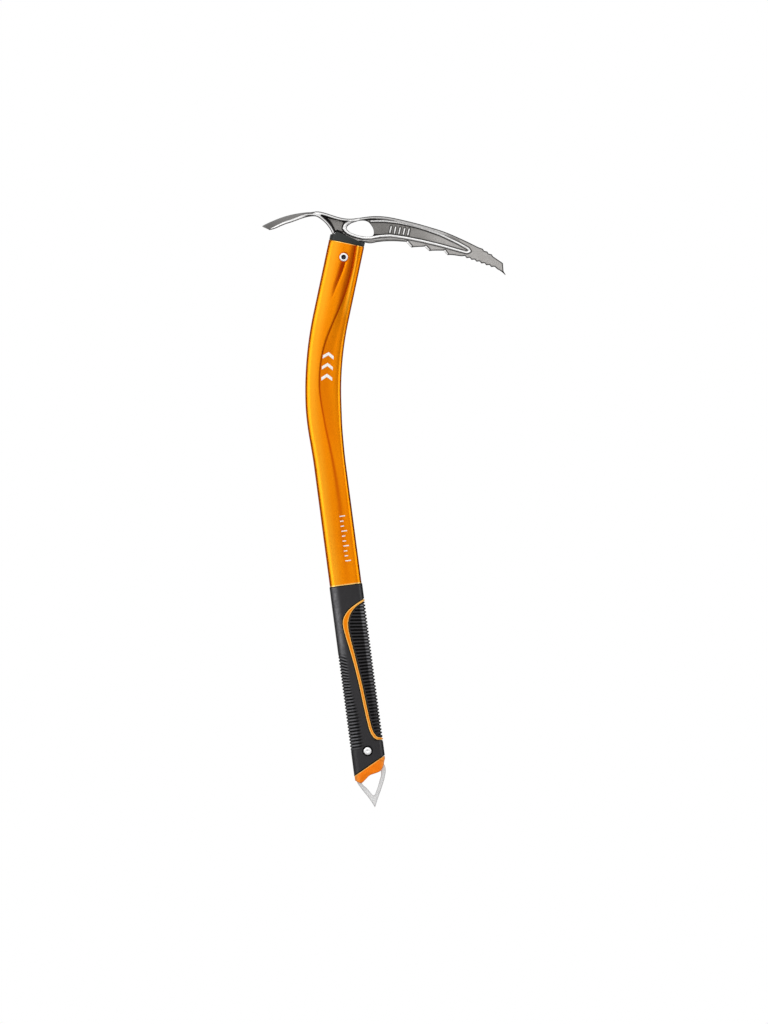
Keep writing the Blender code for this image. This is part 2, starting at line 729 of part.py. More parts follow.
def turned(name, x, z, half_profile, parts, finish):
    """A piece turned about an axis across the axe, with both ends alike.

    The half profile is (y, radius) from the middle of the front end to where the shank begins.
    """
    profile = half_profile + [(-y, radius) for y, radius in half_profile[::-1]]
    points = [(radius * MM, 0, y * MM) for y, radius in profile]
    mesh = bpy.data.meshes.new(name)
    mesh.from_pydata(points, [(i, i + 1) for i in range(len(points) - 1)], [])
    obj = new_object(name, mesh, parts, finish)
    screw = obj.modifiers.new("turn", "SCREW")
    screw.steps = screw.render_steps = ROUND_SIDES
    screw.merge_threshold = 0.00001
    screw.use_merge_vertices = True
    screw.use_smooth_shade = True
    screw.use_normal_calculate = True
    obj.location = (x * MM, 0, z * MM)
    obj.rotation_euler.x = math.radians(90)


def make_head_rivet(parts, finish):
    """A semi-tubular rivet through the head and shaft: each end has a deep blind bore."""
    x, z, _ = centre_line(SHAFT_END - HEAD_RIVET_DROP)
    shank, head, bore, depth, thick = (HEAD_RIVET[k] for k in ("shank", "head", "bore", "depth", "thick"))
    face = UPPER_OVAL[1] + GAP
    top = face + thick
    half_profile = [
        (top - depth, 0.0), (top - depth, bore), (top - 0.4, bore), (top, bore + 0.5),
        (top, head - 0.7), (top - 0.5, head), (face, head), (face, shank),
    ]
    turned("head_rivet", x, z, half_profile, parts, finish)


def make_spike_rivet(parts, finish):
    """A solid dome-headed rivet through the shaft and the spike's tang."""
    shank, head, thick = (SPIKE_RIVET[k] for k in ("shank", "head", "thick"))
    face = NECK_OVAL[1] + GAP
    top = face + thick
    half_profile = [
        (top, 0.0), (top - 0.15, head * 0.5), (top - 0.6, head * 0.85), (face + 0.3, head),
        (face, head), (face, shank),
    ]
    turned("spike_rivet", 0, SPIKE_RIVET_Z, half_profile, parts, finish)


def main():
    clear_scene()
    parts = new_collection("Ice axe")
    cutters = new_collection("Cutters")
    steel = material("forged steel", STEEL, 0.42, 1.0)
    stainless = material("stainless steel", STAINLESS, 0.3, 1.0)
    anodised = material("orange anodised aluminium", ORANGE, 0.35, 0.6)
    rubber = material("black rubber", BLACK, 0.6, 0.0)
    loop_colour = material("orange elastomer", ORANGE, 0.5, 0.0)
    collar_colour = material("orange nylon", COLLAR_ORANGE, 0.4, 0.0)
    black_nylon = material("black nylon", BLACK, 0.35, 0.0)
    nylon = material("natural nylon", NYLON, 0.5, 0.0)

    make_head(parts, cutters, steel)
    make_gasket(parts, cutters, black_nylon)
    packer_top = SHAFT_END - SPIGOT_DEPTH - GAP
    make_packers(
        "head", SHAFT_END - TANG_LENGTH, packer_top, TANG_HALF,
        SHAFT_END - HEAD_RIVET_DROP, HEAD_RIVET["shank"], parts, cutters, nylon,
    )
    make_shaft(parts, cutters, anodised)
    make_grip(parts, cutters, rubber, loop_colour)
    make_collar(parts, cutters, collar_colour)
    make_spike(parts, cutters, stainless)
    packer_low = END_MIDDLE + SPIGOT_DEPTH + GAP
    make_packers(
        "spike", packer_low, SPIKE_TANG_TOP, SPIKE_HALF,
        SPIKE_RIVET_Z, SPIKE_RIVET["shank"], parts, cutters, nylon,
    )
    make_head_rivet(parts, stainless)
    make_spike_rivet(parts, stainless)


main()
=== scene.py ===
"""The looks of the ice axe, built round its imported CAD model: run by the scene renderer in Blender 4.5.

Every place is in metres in the CAD model's frame: the spike's point is the origin, +Z runs up the shaft and
+X points the way the pick points. Both sides of the axe, front and back along Y, are made alike.
"""

import math

import bmesh
import bpy
import numpy as np
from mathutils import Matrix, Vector, kdtree


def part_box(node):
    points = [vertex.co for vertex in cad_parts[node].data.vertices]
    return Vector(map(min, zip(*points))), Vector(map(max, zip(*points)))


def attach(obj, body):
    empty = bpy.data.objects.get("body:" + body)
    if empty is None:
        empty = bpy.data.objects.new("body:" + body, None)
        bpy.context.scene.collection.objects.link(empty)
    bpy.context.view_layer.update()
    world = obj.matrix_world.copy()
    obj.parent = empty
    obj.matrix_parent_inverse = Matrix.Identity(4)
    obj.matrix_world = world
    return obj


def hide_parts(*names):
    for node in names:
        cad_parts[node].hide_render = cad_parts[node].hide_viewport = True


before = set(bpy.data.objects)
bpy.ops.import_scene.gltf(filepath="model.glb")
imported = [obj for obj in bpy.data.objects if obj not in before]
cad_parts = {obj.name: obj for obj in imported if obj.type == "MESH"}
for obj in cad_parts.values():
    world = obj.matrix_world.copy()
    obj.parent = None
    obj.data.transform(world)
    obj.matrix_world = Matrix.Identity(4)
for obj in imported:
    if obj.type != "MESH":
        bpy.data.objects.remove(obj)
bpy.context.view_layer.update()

# ---- driving dimensions, in metres and radians ----

MM = 0.001
BODY = "root"
SIDES = (-1, 1)  # the front and the back of the axe
FLAT = (1, 0, 1)  # flattens places onto the axe's middle plane

HEAD_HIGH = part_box("head")[1]
SHAFT_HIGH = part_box("shaft")[1]
GRIP_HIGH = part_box("grip_sleeve")[1]
HEAD_RIVET_LOW, HEAD_RIVET_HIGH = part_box("head_rivet")
SPIKE_RIVET_LOW, SPIKE_RIVET_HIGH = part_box("spike_rivet")
HEAD_RIVET = (HEAD_RIVET_LOW + HEAD_RIVET_HIGH) / 2
SPIKE_RIVET = (SPIKE_RIVET_LOW + SPIKE_RIVET_HIGH) / 2

# The shaft's centre line: straight up, one bend towards the pick, straight to the head.
STRAIGHT = 375 * MM
BEND_RADIUS = 355 * MM
BEND_ANGLE = math.radians(19.5)
BEND_END = STRAIGHT + BEND_RADIUS * BEND_ANGLE
SHAFT_END = BEND_END + 76 * MM

# The tube: its oval below and above, where it widens, how square the oval is, and its rounded end.
LOWER_OVAL = np.array([16 * MM, SHAFT_HIGH.y])
UPPER_OVAL = np.array([18 * MM, 10 * MM])
WIDEN_FROM, WIDEN_TO = 345 * MM, 410 * MM
OVAL_POWER = 2.5
TUBE_EDGE = 0.8 * MM

# The head's plate: its half thickness by the eye, at the tip and in the pocket, and where it thins.
PLATE_HALF, TIP_HALF = 3.6 * MM, 1.5 * MM
THIN_FROM, THIN_TO = 95 * MM, 202 * MM
WEB_HALF = 1.9 * MM

# The grip's oval, the slant of its lower end and the pitch of its ribs.
GRIP_HALF_WIDTH, GRIP_HALF_DEPTH, GRIP_TOP = GRIP_HIGH
END_SLOPE = math.tan(math.radians(27))
END_MIDDLE = 42.3 * MM
RIB_PITCH = 3.2 * MM
PAD_PITCH = 3.35 * MM


# ---- mesh helpers ----


def add_piece(name, mesh, finish, replaces, smooth_angle=None):
    """Puts a finished mesh in the scene as a piece of the axe, in place of the CAD nodes it replaces."""
    obj = bpy.data.objects.new(name, mesh)
    bpy.context.scene.collection.objects.link(obj)
    mesh.name = name
    mesh.materials.clear()
    mesh.materials.append(finish)
    mesh.shade_smooth()
    if smooth_angle:
        mesh.set_sharp_from_angle(angle=math.radians(smooth_angle))
    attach(obj, BODY)
    if replaces:
        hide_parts(*replaces)


def grid_mesh(rows, ring=False):
    """A quad skin through an array of points, rows by columns; ring joins the last column to the first."""
    rows = np.asarray(rows)
    count, width = rows.shape[:2]
    index = np.arange(count * width).reshape(count, width)
    right = np.roll(index, -1, axis=1)
    if not ring:
        index, right = index[:, :-1], right[:, :-1]
    faces = np.stack([index[:-1], right[:-1], right[1:], index[1:]], axis=-1).reshape(-1, 4)
    mesh = bpy.data.meshes.new("grid")
    mesh.from_pydata(rows.reshape(-1, 3).tolist(), [], faces.tolist())
    mesh.update()
    return mesh


def join(meshes):
    """One mesh holding several."""
    bm = bmesh.new()
    for mesh in meshes:
        bm.from_mesh(mesh)
    joined = bpy.data.meshes.new("joined")
    bm.to_mesh(joined)
    bm.free()
    return joined


def paint(mesh, name, values):
    """Stores a number from 0 to 1 at each vertex, for the material to read."""
    layer = mesh.attributes.new(name, "FLOAT", "POINT")
    layer.data.foreach_set("value", np.clip(np.ravel(values), 0, 1).astype(np.float32))


def vertices_of(mesh):
    """The places and the normals of a mesh's vertices."""
    places = np.empty(3 * len(mesh.vertices))
    normals = np.empty_like(places)
    mesh.vertices.foreach_get("co", places)
    mesh.vertex_normals.foreach_get("vector", normals)
    return places.reshape(-1, 3), normals.reshape(-1, 3)


def distance_to(walls, places):
    """How far each place is from the nearest one marked in walls."""
    marked = np.flatnonzero(walls)
    tree = kdtree.KDTree(len(marked))
    for wall in marked:
        tree.insert(places[wall], int(wall))
    tree.balance()
    return np.array([tree.find(place)[2] for place in places])


def outline(mesh, low, high, limit=0.15):
    """1 on a flat piece's faces near their edges, and 0 further in and on the walls round the piece."""
    places, normals = vertices_of(mesh)
    facing = np.abs(normals[:, 1])
    near = fade(distance_to(facing < limit, places * FLAT), low, high)
    return near * smooth(facing, 0.04, 0.16)


def evened(mesh, values):
    """Painted values, with each vertex brought halfway to the average of those round it."""
    ends = np.empty(2 * len(mesh.edges), dtype=np.int32)
    mesh.edges.foreach_get("vertices", ends)
    first, second = ends.reshape(-1, 2).T
    total = len(values)
    neighbours = np.maximum(np.bincount(ends, minlength=total), 1)
    around = np.bincount(first, values[second], total) + np.bincount(second, values[first], total)
    return (values + around / neighbours) / 2


def final_mesh(obj):
    """A new mesh of the object as its modifiers or its bevel shape it. The object is removed."""
    bpy.context.scene.collection.objects.link(obj)
    bpy.context.view_layer.update()
    graph = bpy.context.evaluated_depsgraph_get()
    mesh = bpy.data.meshes.new_from_object(obj.evaluated_get(graph))
    bpy.data.objects.remove(obj)
    return mesh


def bar(points):
    """A round bar through points given as (x, y, z, radius), as a closed mesh."""
    curve = bpy.data.curves.new("bar", "CURVE")
    curve.dimensions = "3D"
    curve.bevel_depth = 1.0
    curve.bevel_resolution = 4
    curve.use_fill_caps = True
    spline = curve.splines.new("BEZIER")
    spline.bezier_points.add(len(points) - 1)
    for knot, (x, y, z, radius) in zip(spline.bezier_points, points):
        knot.co = (x, y, z)
        knot.radius = radius
        knot.handle_left_type = knot.handle_right_type = "AUTO"
    return final_mesh(bpy.data.objects.new("bar", curve))


def worn_mesh(node, voxel, rounds, swell=0.0, extras=()):
    """A CAD node's shape with extra closed shapes joined, meshed finely so that all its edges are rounded."""
    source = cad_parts[node].data.copy()
    bm = bmesh.new()
    bm.from_mesh(source)
    bmesh.ops.remove_doubles(bm, verts=bm.verts, dist=0.001 * MM)
    bm.to_mesh(source)
    bm.free()
    obj = bpy.data.objects.new("worn", join([source, *extras]))
    remesh = obj.modifiers.new("remesh", "REMESH")
    remesh.mode = "VOXEL"
    remesh.voxel_size = voxel
    soften = obj.modifiers.new("soften", "SMOOTH")
    soften.factor = 0.5
    soften.iterations = rounds
    grow = obj.modifiers.new("grow", "DISPLACE")
    grow.mid_level = 0.0
    grow.strength = swell
    return final_mesh(obj)


def smooth(value, low, high):
    """0 below low, 1 above high and an S curve between."""
    t = np.clip((value - low) / (high - low), 0, 1)
    return t * t * (3 - 2 * t)


def fade(value, low, high):
    """1 below low, 0 above high and an S curve between."""
    return 1 - smooth(value, low, high)


def bell(value, middle, width):
    """1 at the middle, and less and less on both sides of it."""
    return np.exp(-(((value - middle) / width) ** 2))


def curve_through(value, table, column):
    """A smooth curve through one column of a table of given stations, read at one or many places."""
    stations, heights = table[:, 0], table[:, column]
    slopes = np.gradient(heights, stations)
    value = np.clip(value, stations[0], stations[-1])
    i = np.clip(np.searchsorted(stations, value) - 1, 0, len(stations) - 2)
    width = stations[i + 1] - stations[i]
    t = (value - stations[i]) / width
    rise = heights[i] * (1 + 2 * t) * (1 - t) ** 2 + heights[i + 1] * t * t * (3 - 2 * t)
    return rise + width * (slopes[i] * t * (1 - t) ** 2 - slopes[i + 1] * t * t * (1 - t))


# ---- the shaft ----

# The long step in each side of the shaft: s, how far across it is, its depth, and from its line the lengths
# of the lead in, the step itself, the way to the deepest place and the way back up.
CREASE = np.array([
    (226, 2.0, 0.10, 5.0, 4.0, 5.0, 9.0),
    (262, 3.0, 0.40, 5.0, 3.5, 4.5, 9.0),
    (310, 4.5, 0.60, 4.0, 3.0, 4.0, 9.0),
    (355, 3.0, 0.85, 2.5, 1.8, 6.0, 12.0),
    (390, 0.0, 1.05, 1.5, 1.1, 8.0, 15.0),
    (430, -3.9, 1.15, 1.5, 1.0, 9.0, 19.0),
    (466, -1.8, 1.15, 1.5, 0.9, 9.0, 17.0),
    (488, 2.5, 1.20, 1.5, 0.9, 7.0, 13.0),
    (510, 7.0, 1.20, 3.0, 0.8, 3.0, 8.0),
    (527, 9.5, 1.30, 5.0, 0.8, 1.4, 4.6),
    (549, 10.5, 1.40, 5.0, 0.9, 1.2, 3.4),
    (575, 9.2, 1.40, 4.0, 0.9, 1.2, 3.4),
]) * MM

# The short scoop below the head's rivet, in the same terms.
SCOOP = np.array([
    (512, -3.6, 0.0, 1.0, 0.6, 0.3, 1.0),
    (524, -2.0, 0.70, 3.6, 1.6, 0.3, 1.4),
    (540, 0.9, 1.15, 5.6, 2.6, 0.4, 2.0),
    (553, 2.2, 1.15, 6.2, 3.0, 0.5, 2.2),
    (563, 2.2, 0.0, 6.2, 3.0, 0.5, 2.2),
]) * MM


def centre_line(s):
    """The point and the lean of the shaft's centre line, a distance s up from the spike's point."""
    if s <= STRAIGHT:
        return 0.0, s, 0.0
    lean = min((s - STRAIGHT) / BEND_RADIUS, BEND_ANGLE)
    beyond = max(0.0, s - BEND_END)
    x = BEND_RADIUS * (1 - math.cos(lean)) + beyond * math.sin(lean)
    z = STRAIGHT + BEND_RADIUS * math.sin(lean) + beyond * math.cos(lean)
    return x, z, lean


def shaft_oval(s):
    """The tube's half width and half thickness at s."""
    return LOWER_OVAL + (UPPER_OVAL - LOWER_OVAL) * smooth(s, WIDEN_FROM, WIDEN_TO)


def reaches(s, table):
    """Whether a pressed line is there at s."""
    return table[0, 0] <= s <= table[-1, 0]


def pressed(s, across, table):
    """How deep a pressed line of the shaft is at a point: a step down, a slow fall and the way back."""
    line, depth, lead, step, bottom, back = (curve_through(s, table, k) for k in range(1, 7))
    a = across - line
    # Three tenths of the depth come before the step, four in it and three after it.
    fall = 0.3 * smooth(a, -lead, 0) + 0.4 * smooth(a, -step, step) + 0.3 * smooth(a, 0, bottom)
    return depth * fall * fade(a, bottom, back) * reaches(s, table)


def side_height(s, across):
    """How far the shaft's side stands from the middle plane at (s, across)."""
    half_width, half_depth = shaft_oval(s)
    reach = np.clip(np.abs(across) / half_width, 0, 1)
    flat = half_depth * (1 - reach**OVAL_POWER) ** (1 / OVAL_POWER)
    cut = pressed(s, across, CREASE) + pressed(s, across, SCOOP)
    full_from = 0.75 * half_depth  # nearer the middle plane than this, the lines grow shallow
    return flat - cut * smooth(flat, 0.0, full_from)


def on_shaft(s, across, y):
    """Points of the shaft's own frame, in the scene."""
    x, z, lean = centre_line(s)
    return np.stack([x + across * math.cos(lean), y, z - across * math.sin(lean)], axis=-1)


def across_angles(columns, half_width):
    """Where a ring's points lie across the shaft, going round from +X."""
    angles = np.linspace(0, 2 * np.pi, columns, endpoint=False)
    return angles, half_width * np.sign(np.cos(angles)) * np.abs(np.cos(angles)) ** (2 / OVAL_POWER)


def from_rivet(x, z, rivet):
    """How far places are from a rivet's axis."""
    return np.hypot(x - rivet.x, z - rivet.z)


def shaft_ring(s, columns, inset=0.0):
    """The shaft's outside at s, drawn in by inset, and sunk out of sight under the head's rivet."""
    sunk, sunk_to, level_from = 0.45, 2.7 * MM, 3.9 * MM
    half_width = shaft_oval(s)[0]
    angles, across = across_angles(columns, half_width)
    y = np.sign(np.sin(angles)) * side_height(s, across)
    shrink = 1 - inset / half_width
    points = on_shaft(s, across * shrink, y * shrink)
    points[:, 1] *= 1 - sunk * fade(from_rivet(points[:, 0], points[:, 2], HEAD_RIVET), sunk_to, level_from)
    return points


def painted_crease_shade(s, across):
    """Painted shade on the shaft: along the crease and on both sides of it, and in the scoop."""
    line, depth, lead, step = (curve_through(s, CREASE, k) for k in range(1, 5))
    a = across - line
    crease = 0.9 * bell(a, 0, 0.75 * step) * depth / MM
    near_head = smooth(s, 490 * MM, 520 * MM)
    before = 0.8 * smooth(a, -1.7 * lead, -0.2 * lead) * fade(a, 0, step) * near_head
    on_bend = smooth(s, 340 * MM, 385 * MM) * fade(s, 455 * MM, 490 * MM)
    beyond = 0.25 * smooth(a, 0, 1.5 * step) * fade(a, 5 * MM, 15 * MM) * on_bend
    line, depth, lead = (curve_through(s, SCOOP, k) for k in range(1, 4))
    a = across - line
    scoop = 0.8 * smooth(a, -lead, -0.35 * lead) * fade(a, 0, 1.0 * MM) * depth / MM
    return crease + before + beyond + scoop * reaches(s, SCOOP)


def painted_sheen(s, across):
    """Painted highlights on the shaft: left of the middle, on the rib past the crease, and by the edge."""
    reach = across / shaft_oval(s)[0]
    line, bottom, back = (curve_through(s, CREASE, k) for k in (1, 5, 6))
    a = across - line
    left = 0.40 * bell(reach, -0.62, 0.30)
    by_edge = 0.35 * bell(reach, 0.89, 0.04) * fade(s, 480 * MM, 510 * MM)
    rib = 0.9 * smooth(a, bottom, back) * fade(a, back - 1.0 * MM, back + 0.6 * MM)
    return left + by_edge + rib * smooth(s, 490 * MM, 525 * MM)


def paint_shaft(mesh, stations, columns):
    """Painted highlights; painted shade beside the narrow sides, along the crease and round the rivet; a
    bright cut edge at the tube's upper end, and a painted highlight just above the grip.
    """
    places, normals = vertices_of(mesh)
    across = [across_angles(columns, shaft_oval(s)[0])[1] for s in stations]
    paint(mesh, "painted_sheen", [painted_sheen(s, a) for s, a in zip(stations, across)])
    facing = np.abs(normals[:, 1])
    # painted shade, dark red, beside the tube's two narrow sides
    paint(mesh, "edge", 0.85 * smooth(facing, 0.02, 0.22) * fade(facing, 0.36, 0.62))
    shade = [painted_crease_shade(s, a) for s, a in zip(stations, across)]
    # painted shade in a ring round the head's rivet
    rivet_seat = fade(from_rivet(places[:, 0], places[:, 2], HEAD_RIVET), 4.5 * MM, 5.4 * MM)
    paint(mesh, "shade", np.maximum(np.ravel(shade), rivet_seat))
    along = np.repeat(stations, columns)
    above_grip = fade(along, GRIP_TOP, GRIP_TOP + 1.3 * MM)
    # a bright cut edge at the tube's upper end, and a painted highlight just above the grip
    paint(mesh, "bare_and_highlight", smooth(along, SHAFT_END - TUBE_EDGE, SHAFT_END) + 0.8 * above_grip)


def make_shaft(finish):
    """The tube's outside, with the long crease and the scoop pressed into both sides."""
    columns, step = 300, 0.9 * MM
    under_grip, rim = 6 * MM, 2.4 * TUBE_EDGE
    low, high = GRIP_TOP - under_grip, SHAFT_END - TUBE_EDGE
    stations = [*np.arange(low, high, step), high]
    rows = [shaft_ring(s, columns) for s in stations]
    for turn in np.radians((30, 60, 90)):
        stations.append(high + TUBE_EDGE * math.sin(turn))
        rows.append(shaft_ring(stations[-1], columns, TUBE_EDGE * (1 - math.cos(turn))))
    stations.append(SHAFT_END)
    rows.append(shaft_ring(SHAFT_END, columns, rim))
    mesh = grid_mesh(rows, ring=True)
    paint_shaft(mesh, stations, columns)
    add_piece("shaft_tube", mesh, finish, ["shaft"], 50)


# ---- printed marks on the shaft: plain shapes of their own ----

# The ink's thickness, and then how many marks there are, how far up the shaft the first one is, and the step
# to the next.
FILM = 0.06 * MM
CHEVRONS, FIRST_CHEVRON, CHEVRON_STEP = 3, 433 * MM, 11 * MM
TICKS, FIRST_TICK, TICK_STEP = 10, 249 * MM, 5 * MM
LONG_TICK, SHORT_TICK, LONG_EVERY = 6 * MM, 3.6 * MM, 3


def print_patch(stations, across, side):
    """A closed skin printed on the shaft: rows of stations and of places across, tucked in at its edges."""
    rows = []
    last = len(stations) - 1
    for i, (along, reach) in enumerate(zip(stations, across)):
        lift = np.full(len(reach), FILM)
        lift[[0, -1]] = -FILM
        if i in (0, last):
            lift[:] = -FILM
        points = []
        for s, a, up in zip(along, reach, lift):
            points.append(on_shaft(s, a, side * (side_height(s, a) + up)))
        rows.append(points if side < 0 else points[::-1])
    return grid_mesh(rows)


def chevron(middle, side):
    """One chevron that points up the shaft."""
    half_width, rise, stroke = 5.6 * MM, 4.0 * MM, 3.4 * MM
    right_of_middle, columns = 3.4 * MM, 41
    across = np.linspace(-half_width, half_width, columns)
    stations, reach = [], []
    for t in (0, 0, 0.25, 0.5, 0.75, 1, 1):
        stations.append(middle + rise * (1 - np.abs(across) / half_width) + stroke * (t - 0.5))
        reach.append(across + right_of_middle)
    return print_patch(stations, reach, side)


def tick(middle, length, side):
    """One short stroke of the scale above the grip."""
    start, stroke, columns = 2.6 * MM, 1.1 * MM, 15
    across = np.linspace(start, start + length, columns)
    stations = [np.full(columns, middle + stroke * (t - 0.5)) for t in (0, 0, 0.5, 1, 1)]
    return print_patch(stations, [across] * len(stations), side)


def make_marks(finish):
    """Three chevrons on the bend, and a plain scale above the grip."""
    patches = []
    lengths = [SHORT_TICK if i % LONG_EVERY else LONG_TICK for i in range(TICKS)]
    for side in SIDES:
        patches += [chevron(FIRST_CHEVRON + i * CHEVRON_STEP, side) for i in range(CHEVRONS)]
        patches += [tick(FIRST_TICK + i * TICK_STEP, length, side) for i, length in enumerate(lengths)]
    add_piece("shaft_print", join(patches), finish, [])


# ---- the head ----

# The rounded rib round the eye and the pick's pocket, from above the eye: x, z and radius in millimetres.
RIB = [
    (61, 587.0, 1.0), (53.5, 586.4, 1.3), (47.6, 584.2, 1.6), (45.2, 580.2, 1.7), (47.4, 576.0, 1.6),
    (53.6, 571.8, 1.4), (61.5, 568.6, 1.2), (70, 567.2, 1.1), (80, 567.7, 1.1), (90, 567.0, 1.1),
    (105, 562.8, 1.1), (120, 557.8, 1.1), (140, 550.2, 1.1), (157, 542.9, 1.05), (164.2, 540.0, 1.0),
    (167.3, 541.0, 1.0), (166.0, 543.6, 1.0), (158, 549.6, 1.0), (140, 561.3, 1.0), (120, 571.3, 1.0),
    (100, 578.7, 1.0), (85, 582.4, 1.0), (73, 583.8, 0.9),
]

# Two fine lines outside the rib, one along the top of the pick and one under the eye, in the same terms.
LINES = [
    [(78, 585.6, 0.35), (100, 580.6, 0.35), (120, 573.1, 0.35), (140, 563.2, 0.35), (157, 552.6, 0.3)],
    [(62, 565.4, 0.4), (75, 564.6, 0.4), (90, 564.2, 0.4), (103, 560.9, 0.4)],
]

# The ground steep faces of the three large teeth: x and z of the top and the bottom of each, in millimetres.
TOOTH_FACES = [
    ((106.3, 558.2), (109.6, 553.4)),
    ((124.0, 551.2), (126.8, 547.6)),
    ((142.3, 544.6), (144.5, 541.0)),
]

# Slanted strokes in the pocket, a plain pattern of its own: how many there are, their radius, where the
# first one starts, the step to the next and the run of each, all as x and z in millimetres.
STROKES, STROKE_RADIUS = 5, 0.75
STROKE_START, STROKE_STEP, STROKE_RUN = np.array([(90, 569.6), (4.4, -1.2), (2.2, 6.0)])


def plate_half(x):
    """The plate's half thickness at x."""
    return PLATE_HALF + (TIP_HALF - PLATE_HALF) * np.clip((x - THIN_FROM) / (THIN_TO - THIN_FROM), 0, None)


def raised_lines():
    """The head's raised lines: points (x, z, radius) in millimetres, how far the line's middle is from the
    plate's face, or None for a line on the pocket's floor, and how strong its bright top, a painted highlight
    on the rib and fine lines, and the painted shade beside it are."""
    lines = [(RIB, -0.35 * MM, 1.0)]
    lines += [(points, -0.1 * MM, 0.55) for points in LINES]
    lines += [([(*heel, 0.9), (*point, 0.7)], -0.4 * MM, 1.0) for heel, point in TOOTH_FACES]
    for i in range(STROKES):
        start = STROKE_START + i * STROKE_STEP
        points = [(*start, STROKE_RADIUS), (*(start + STROKE_RUN), STROKE_RADIUS)]
        lines.append((points, None, 0.9))
    return lines


def line_height(x, rise):
    """How far from the middle plane a raised line runs: on the plate's face, or on the pocket's floor."""
    return WEB_HALF if rise is None else plate_half(x) + rise


def head_relief():
    """The raised lines on both sides of the head, as closed bars half sunk in it."""
    bars = []
    for points, rise, _ in raised_lines():
        knots = MM * np.array([(x, line_height(x * MM, rise) / MM, z, radius) for x, z, radius in points])
        bars += [bar(knots * (1, side, 1, 1)) for side in SIDES]
    return bars


def edge_distance(x, z, points):
    """How far places are outside a raised line's edge, seen from the side."""
    nearest = np.full(len(x), np.inf)
    for (x0, z0, r0), (x1, z1, r1) in zip(points, points[1:]):
        run = np.array([x1 - x0, z1 - z0]) * MM
        t = np.clip(((x - x0 * MM) * run[0] + (z - z0 * MM) * run[1]) / (run @ run), 0, 1)
        gap = np.hypot(x - x0 * MM - t * run[0], z - z0 * MM - t * run[1])
        nearest = np.minimum(nearest, gap - (r0 + (r1 - r0) * t) * MM)
    return nearest


def edge_painted_shade(mesh, x, proud, up):
    """Painted shade along the edges of the plate and its flanges, fainter on top of the adze's root."""
    width = 0.2 * MM + 0.6 * MM * smooth(proud, -1.2 * MM, -0.2 * MM)
    root_top = smooth(up, 0.55, 0.85) * fade(x, 14 * MM, 20 * MM)
    return outline(mesh, width, width + 0.4 * MM) * (1 - 0.65 * root_top)


def adze_painted_shade(places, facing, up):
    """Painted shade on the adze along its crown and along the rim of its underside, and darker towards its
    tip.
    """
    crown = 0.5 * fade(facing, 0.03, 0.17) * (up > 0)
    from_underside = distance_to(up < -0.6, places)
    rim = smooth(facing, 0.3, 0.6) * fade(from_underside, 0.9 * MM, 1.3 * MM)
    tip = 0.3 * fade(places[:, 0], -32 * MM, -8 * MM) * fade(facing, 0.6, 0.8)
    return np.max([crown, rim, tip], axis=0)


def paint_lines(places, facing, ground_and_highlight, scale):
    """Adds the raised lines, bright on top (a painted highlight on the rib and fine lines) and with painted
    shade beside them.
    """
    x, z = places[:, 0], places[:, 2]
    for points, rise, line_strength in raised_lines():
        gap = edge_distance(x, z, points)
        near = smooth(np.abs(places[:, 1]) - line_height(x, rise), -0.8 * MM, -0.3 * MM)
        ground_and_highlight = np.maximum(ground_and_highlight, line_strength * near * fade(gap, -0.4 * MM, -0.05 * MM))
        # painted shade beside each raised line
        beside = smooth(gap, -0.3 * MM, -0.1 * MM) * fade(gap, 0.8 * MM, 1.3 * MM)
        scale = np.maximum(scale, 0.9 * line_strength * beside * smooth(facing, 0.04, 0.16))
    return ground_and_highlight, scale


def paint_head(mesh):
    """Where the painted highlights and bright marks go, where painted shade goes, and where the adze and the
    pocket are.
    """
    places, normals = vertices_of(mesh)
    x, facing, up = places[:, 0], np.abs(normals[:, 1]), normals[:, 2]
    proud = np.abs(places[:, 1]) - plate_half(x)
    sheet = np.maximum(smooth(proud, 3 * MM, 5 * MM), fade(x, -6 * MM, -1 * MM)) * fade(x, 2 * MM, 12 * MM)
    # Painted shade along the plate's edges, and on the adze along its crown, its rim and towards its tip.
    scale = edge_painted_shade(mesh, x, proud, up) * (1 - sheet) + adze_painted_shade(places, facing, up) * sheet
    shine = 1 - 0.6 * smooth(x, 62 * MM, 74 * MM)
    # painted highlight on the proud rims that face the sides, fainter along the pick
    ground_and_highlight = shine * smooth(proud, 0.6 * MM, 1.2 * MM) * smooth(facing, 0.6, 0.85) * (1 - scale)
    ground_and_highlight, scale = paint_lines(places, facing, ground_and_highlight, scale)
    web = fade(proud, -1.2 * MM, -0.5 * MM) * smooth(facing, 0.3, 0.6) * fade(x, 158 * MM, 168 * MM)
    # darker in the pocket next to the eye, held in the same dark mask
    by_eye = 0.28 * web * smooth(x, 58 * MM, 64 * MM) * fade(x, 82 * MM, 112 * MM)
    scale = np.maximum(scale, by_eye)
    paint(mesh, "ground_and_highlight", evened(mesh, ground_and_highlight))
    # 'scale' holds painted shade by the edges and beside the lines, and the darker pocket by the eye
    paint(mesh, "scale", evened(mesh, scale * (1 - ground_and_highlight)))
    paint(mesh, "sheet", sheet)
    paint(mesh, "web", web)


def make_head(finish):
    """The forged head, with its raised lines and with all its edges rounded."""
    mesh = worn_mesh("head", voxel=0.36 * MM, rounds=4, swell=0.15 * MM, extras=head_relief())
    paint_head(mesh)
    add_piece("forged_head", mesh, finish, ["head"])


def make_gasket(finish):
    """The moulded wedge between the head and the tube."""
    mesh = worn_mesh("head_gasket", voxel=0.3 * MM, rounds=5, swell=0.3 * MM)
    add_piece("gasket", mesh, finish, ["head_gasket"])


# ---- the grip ----

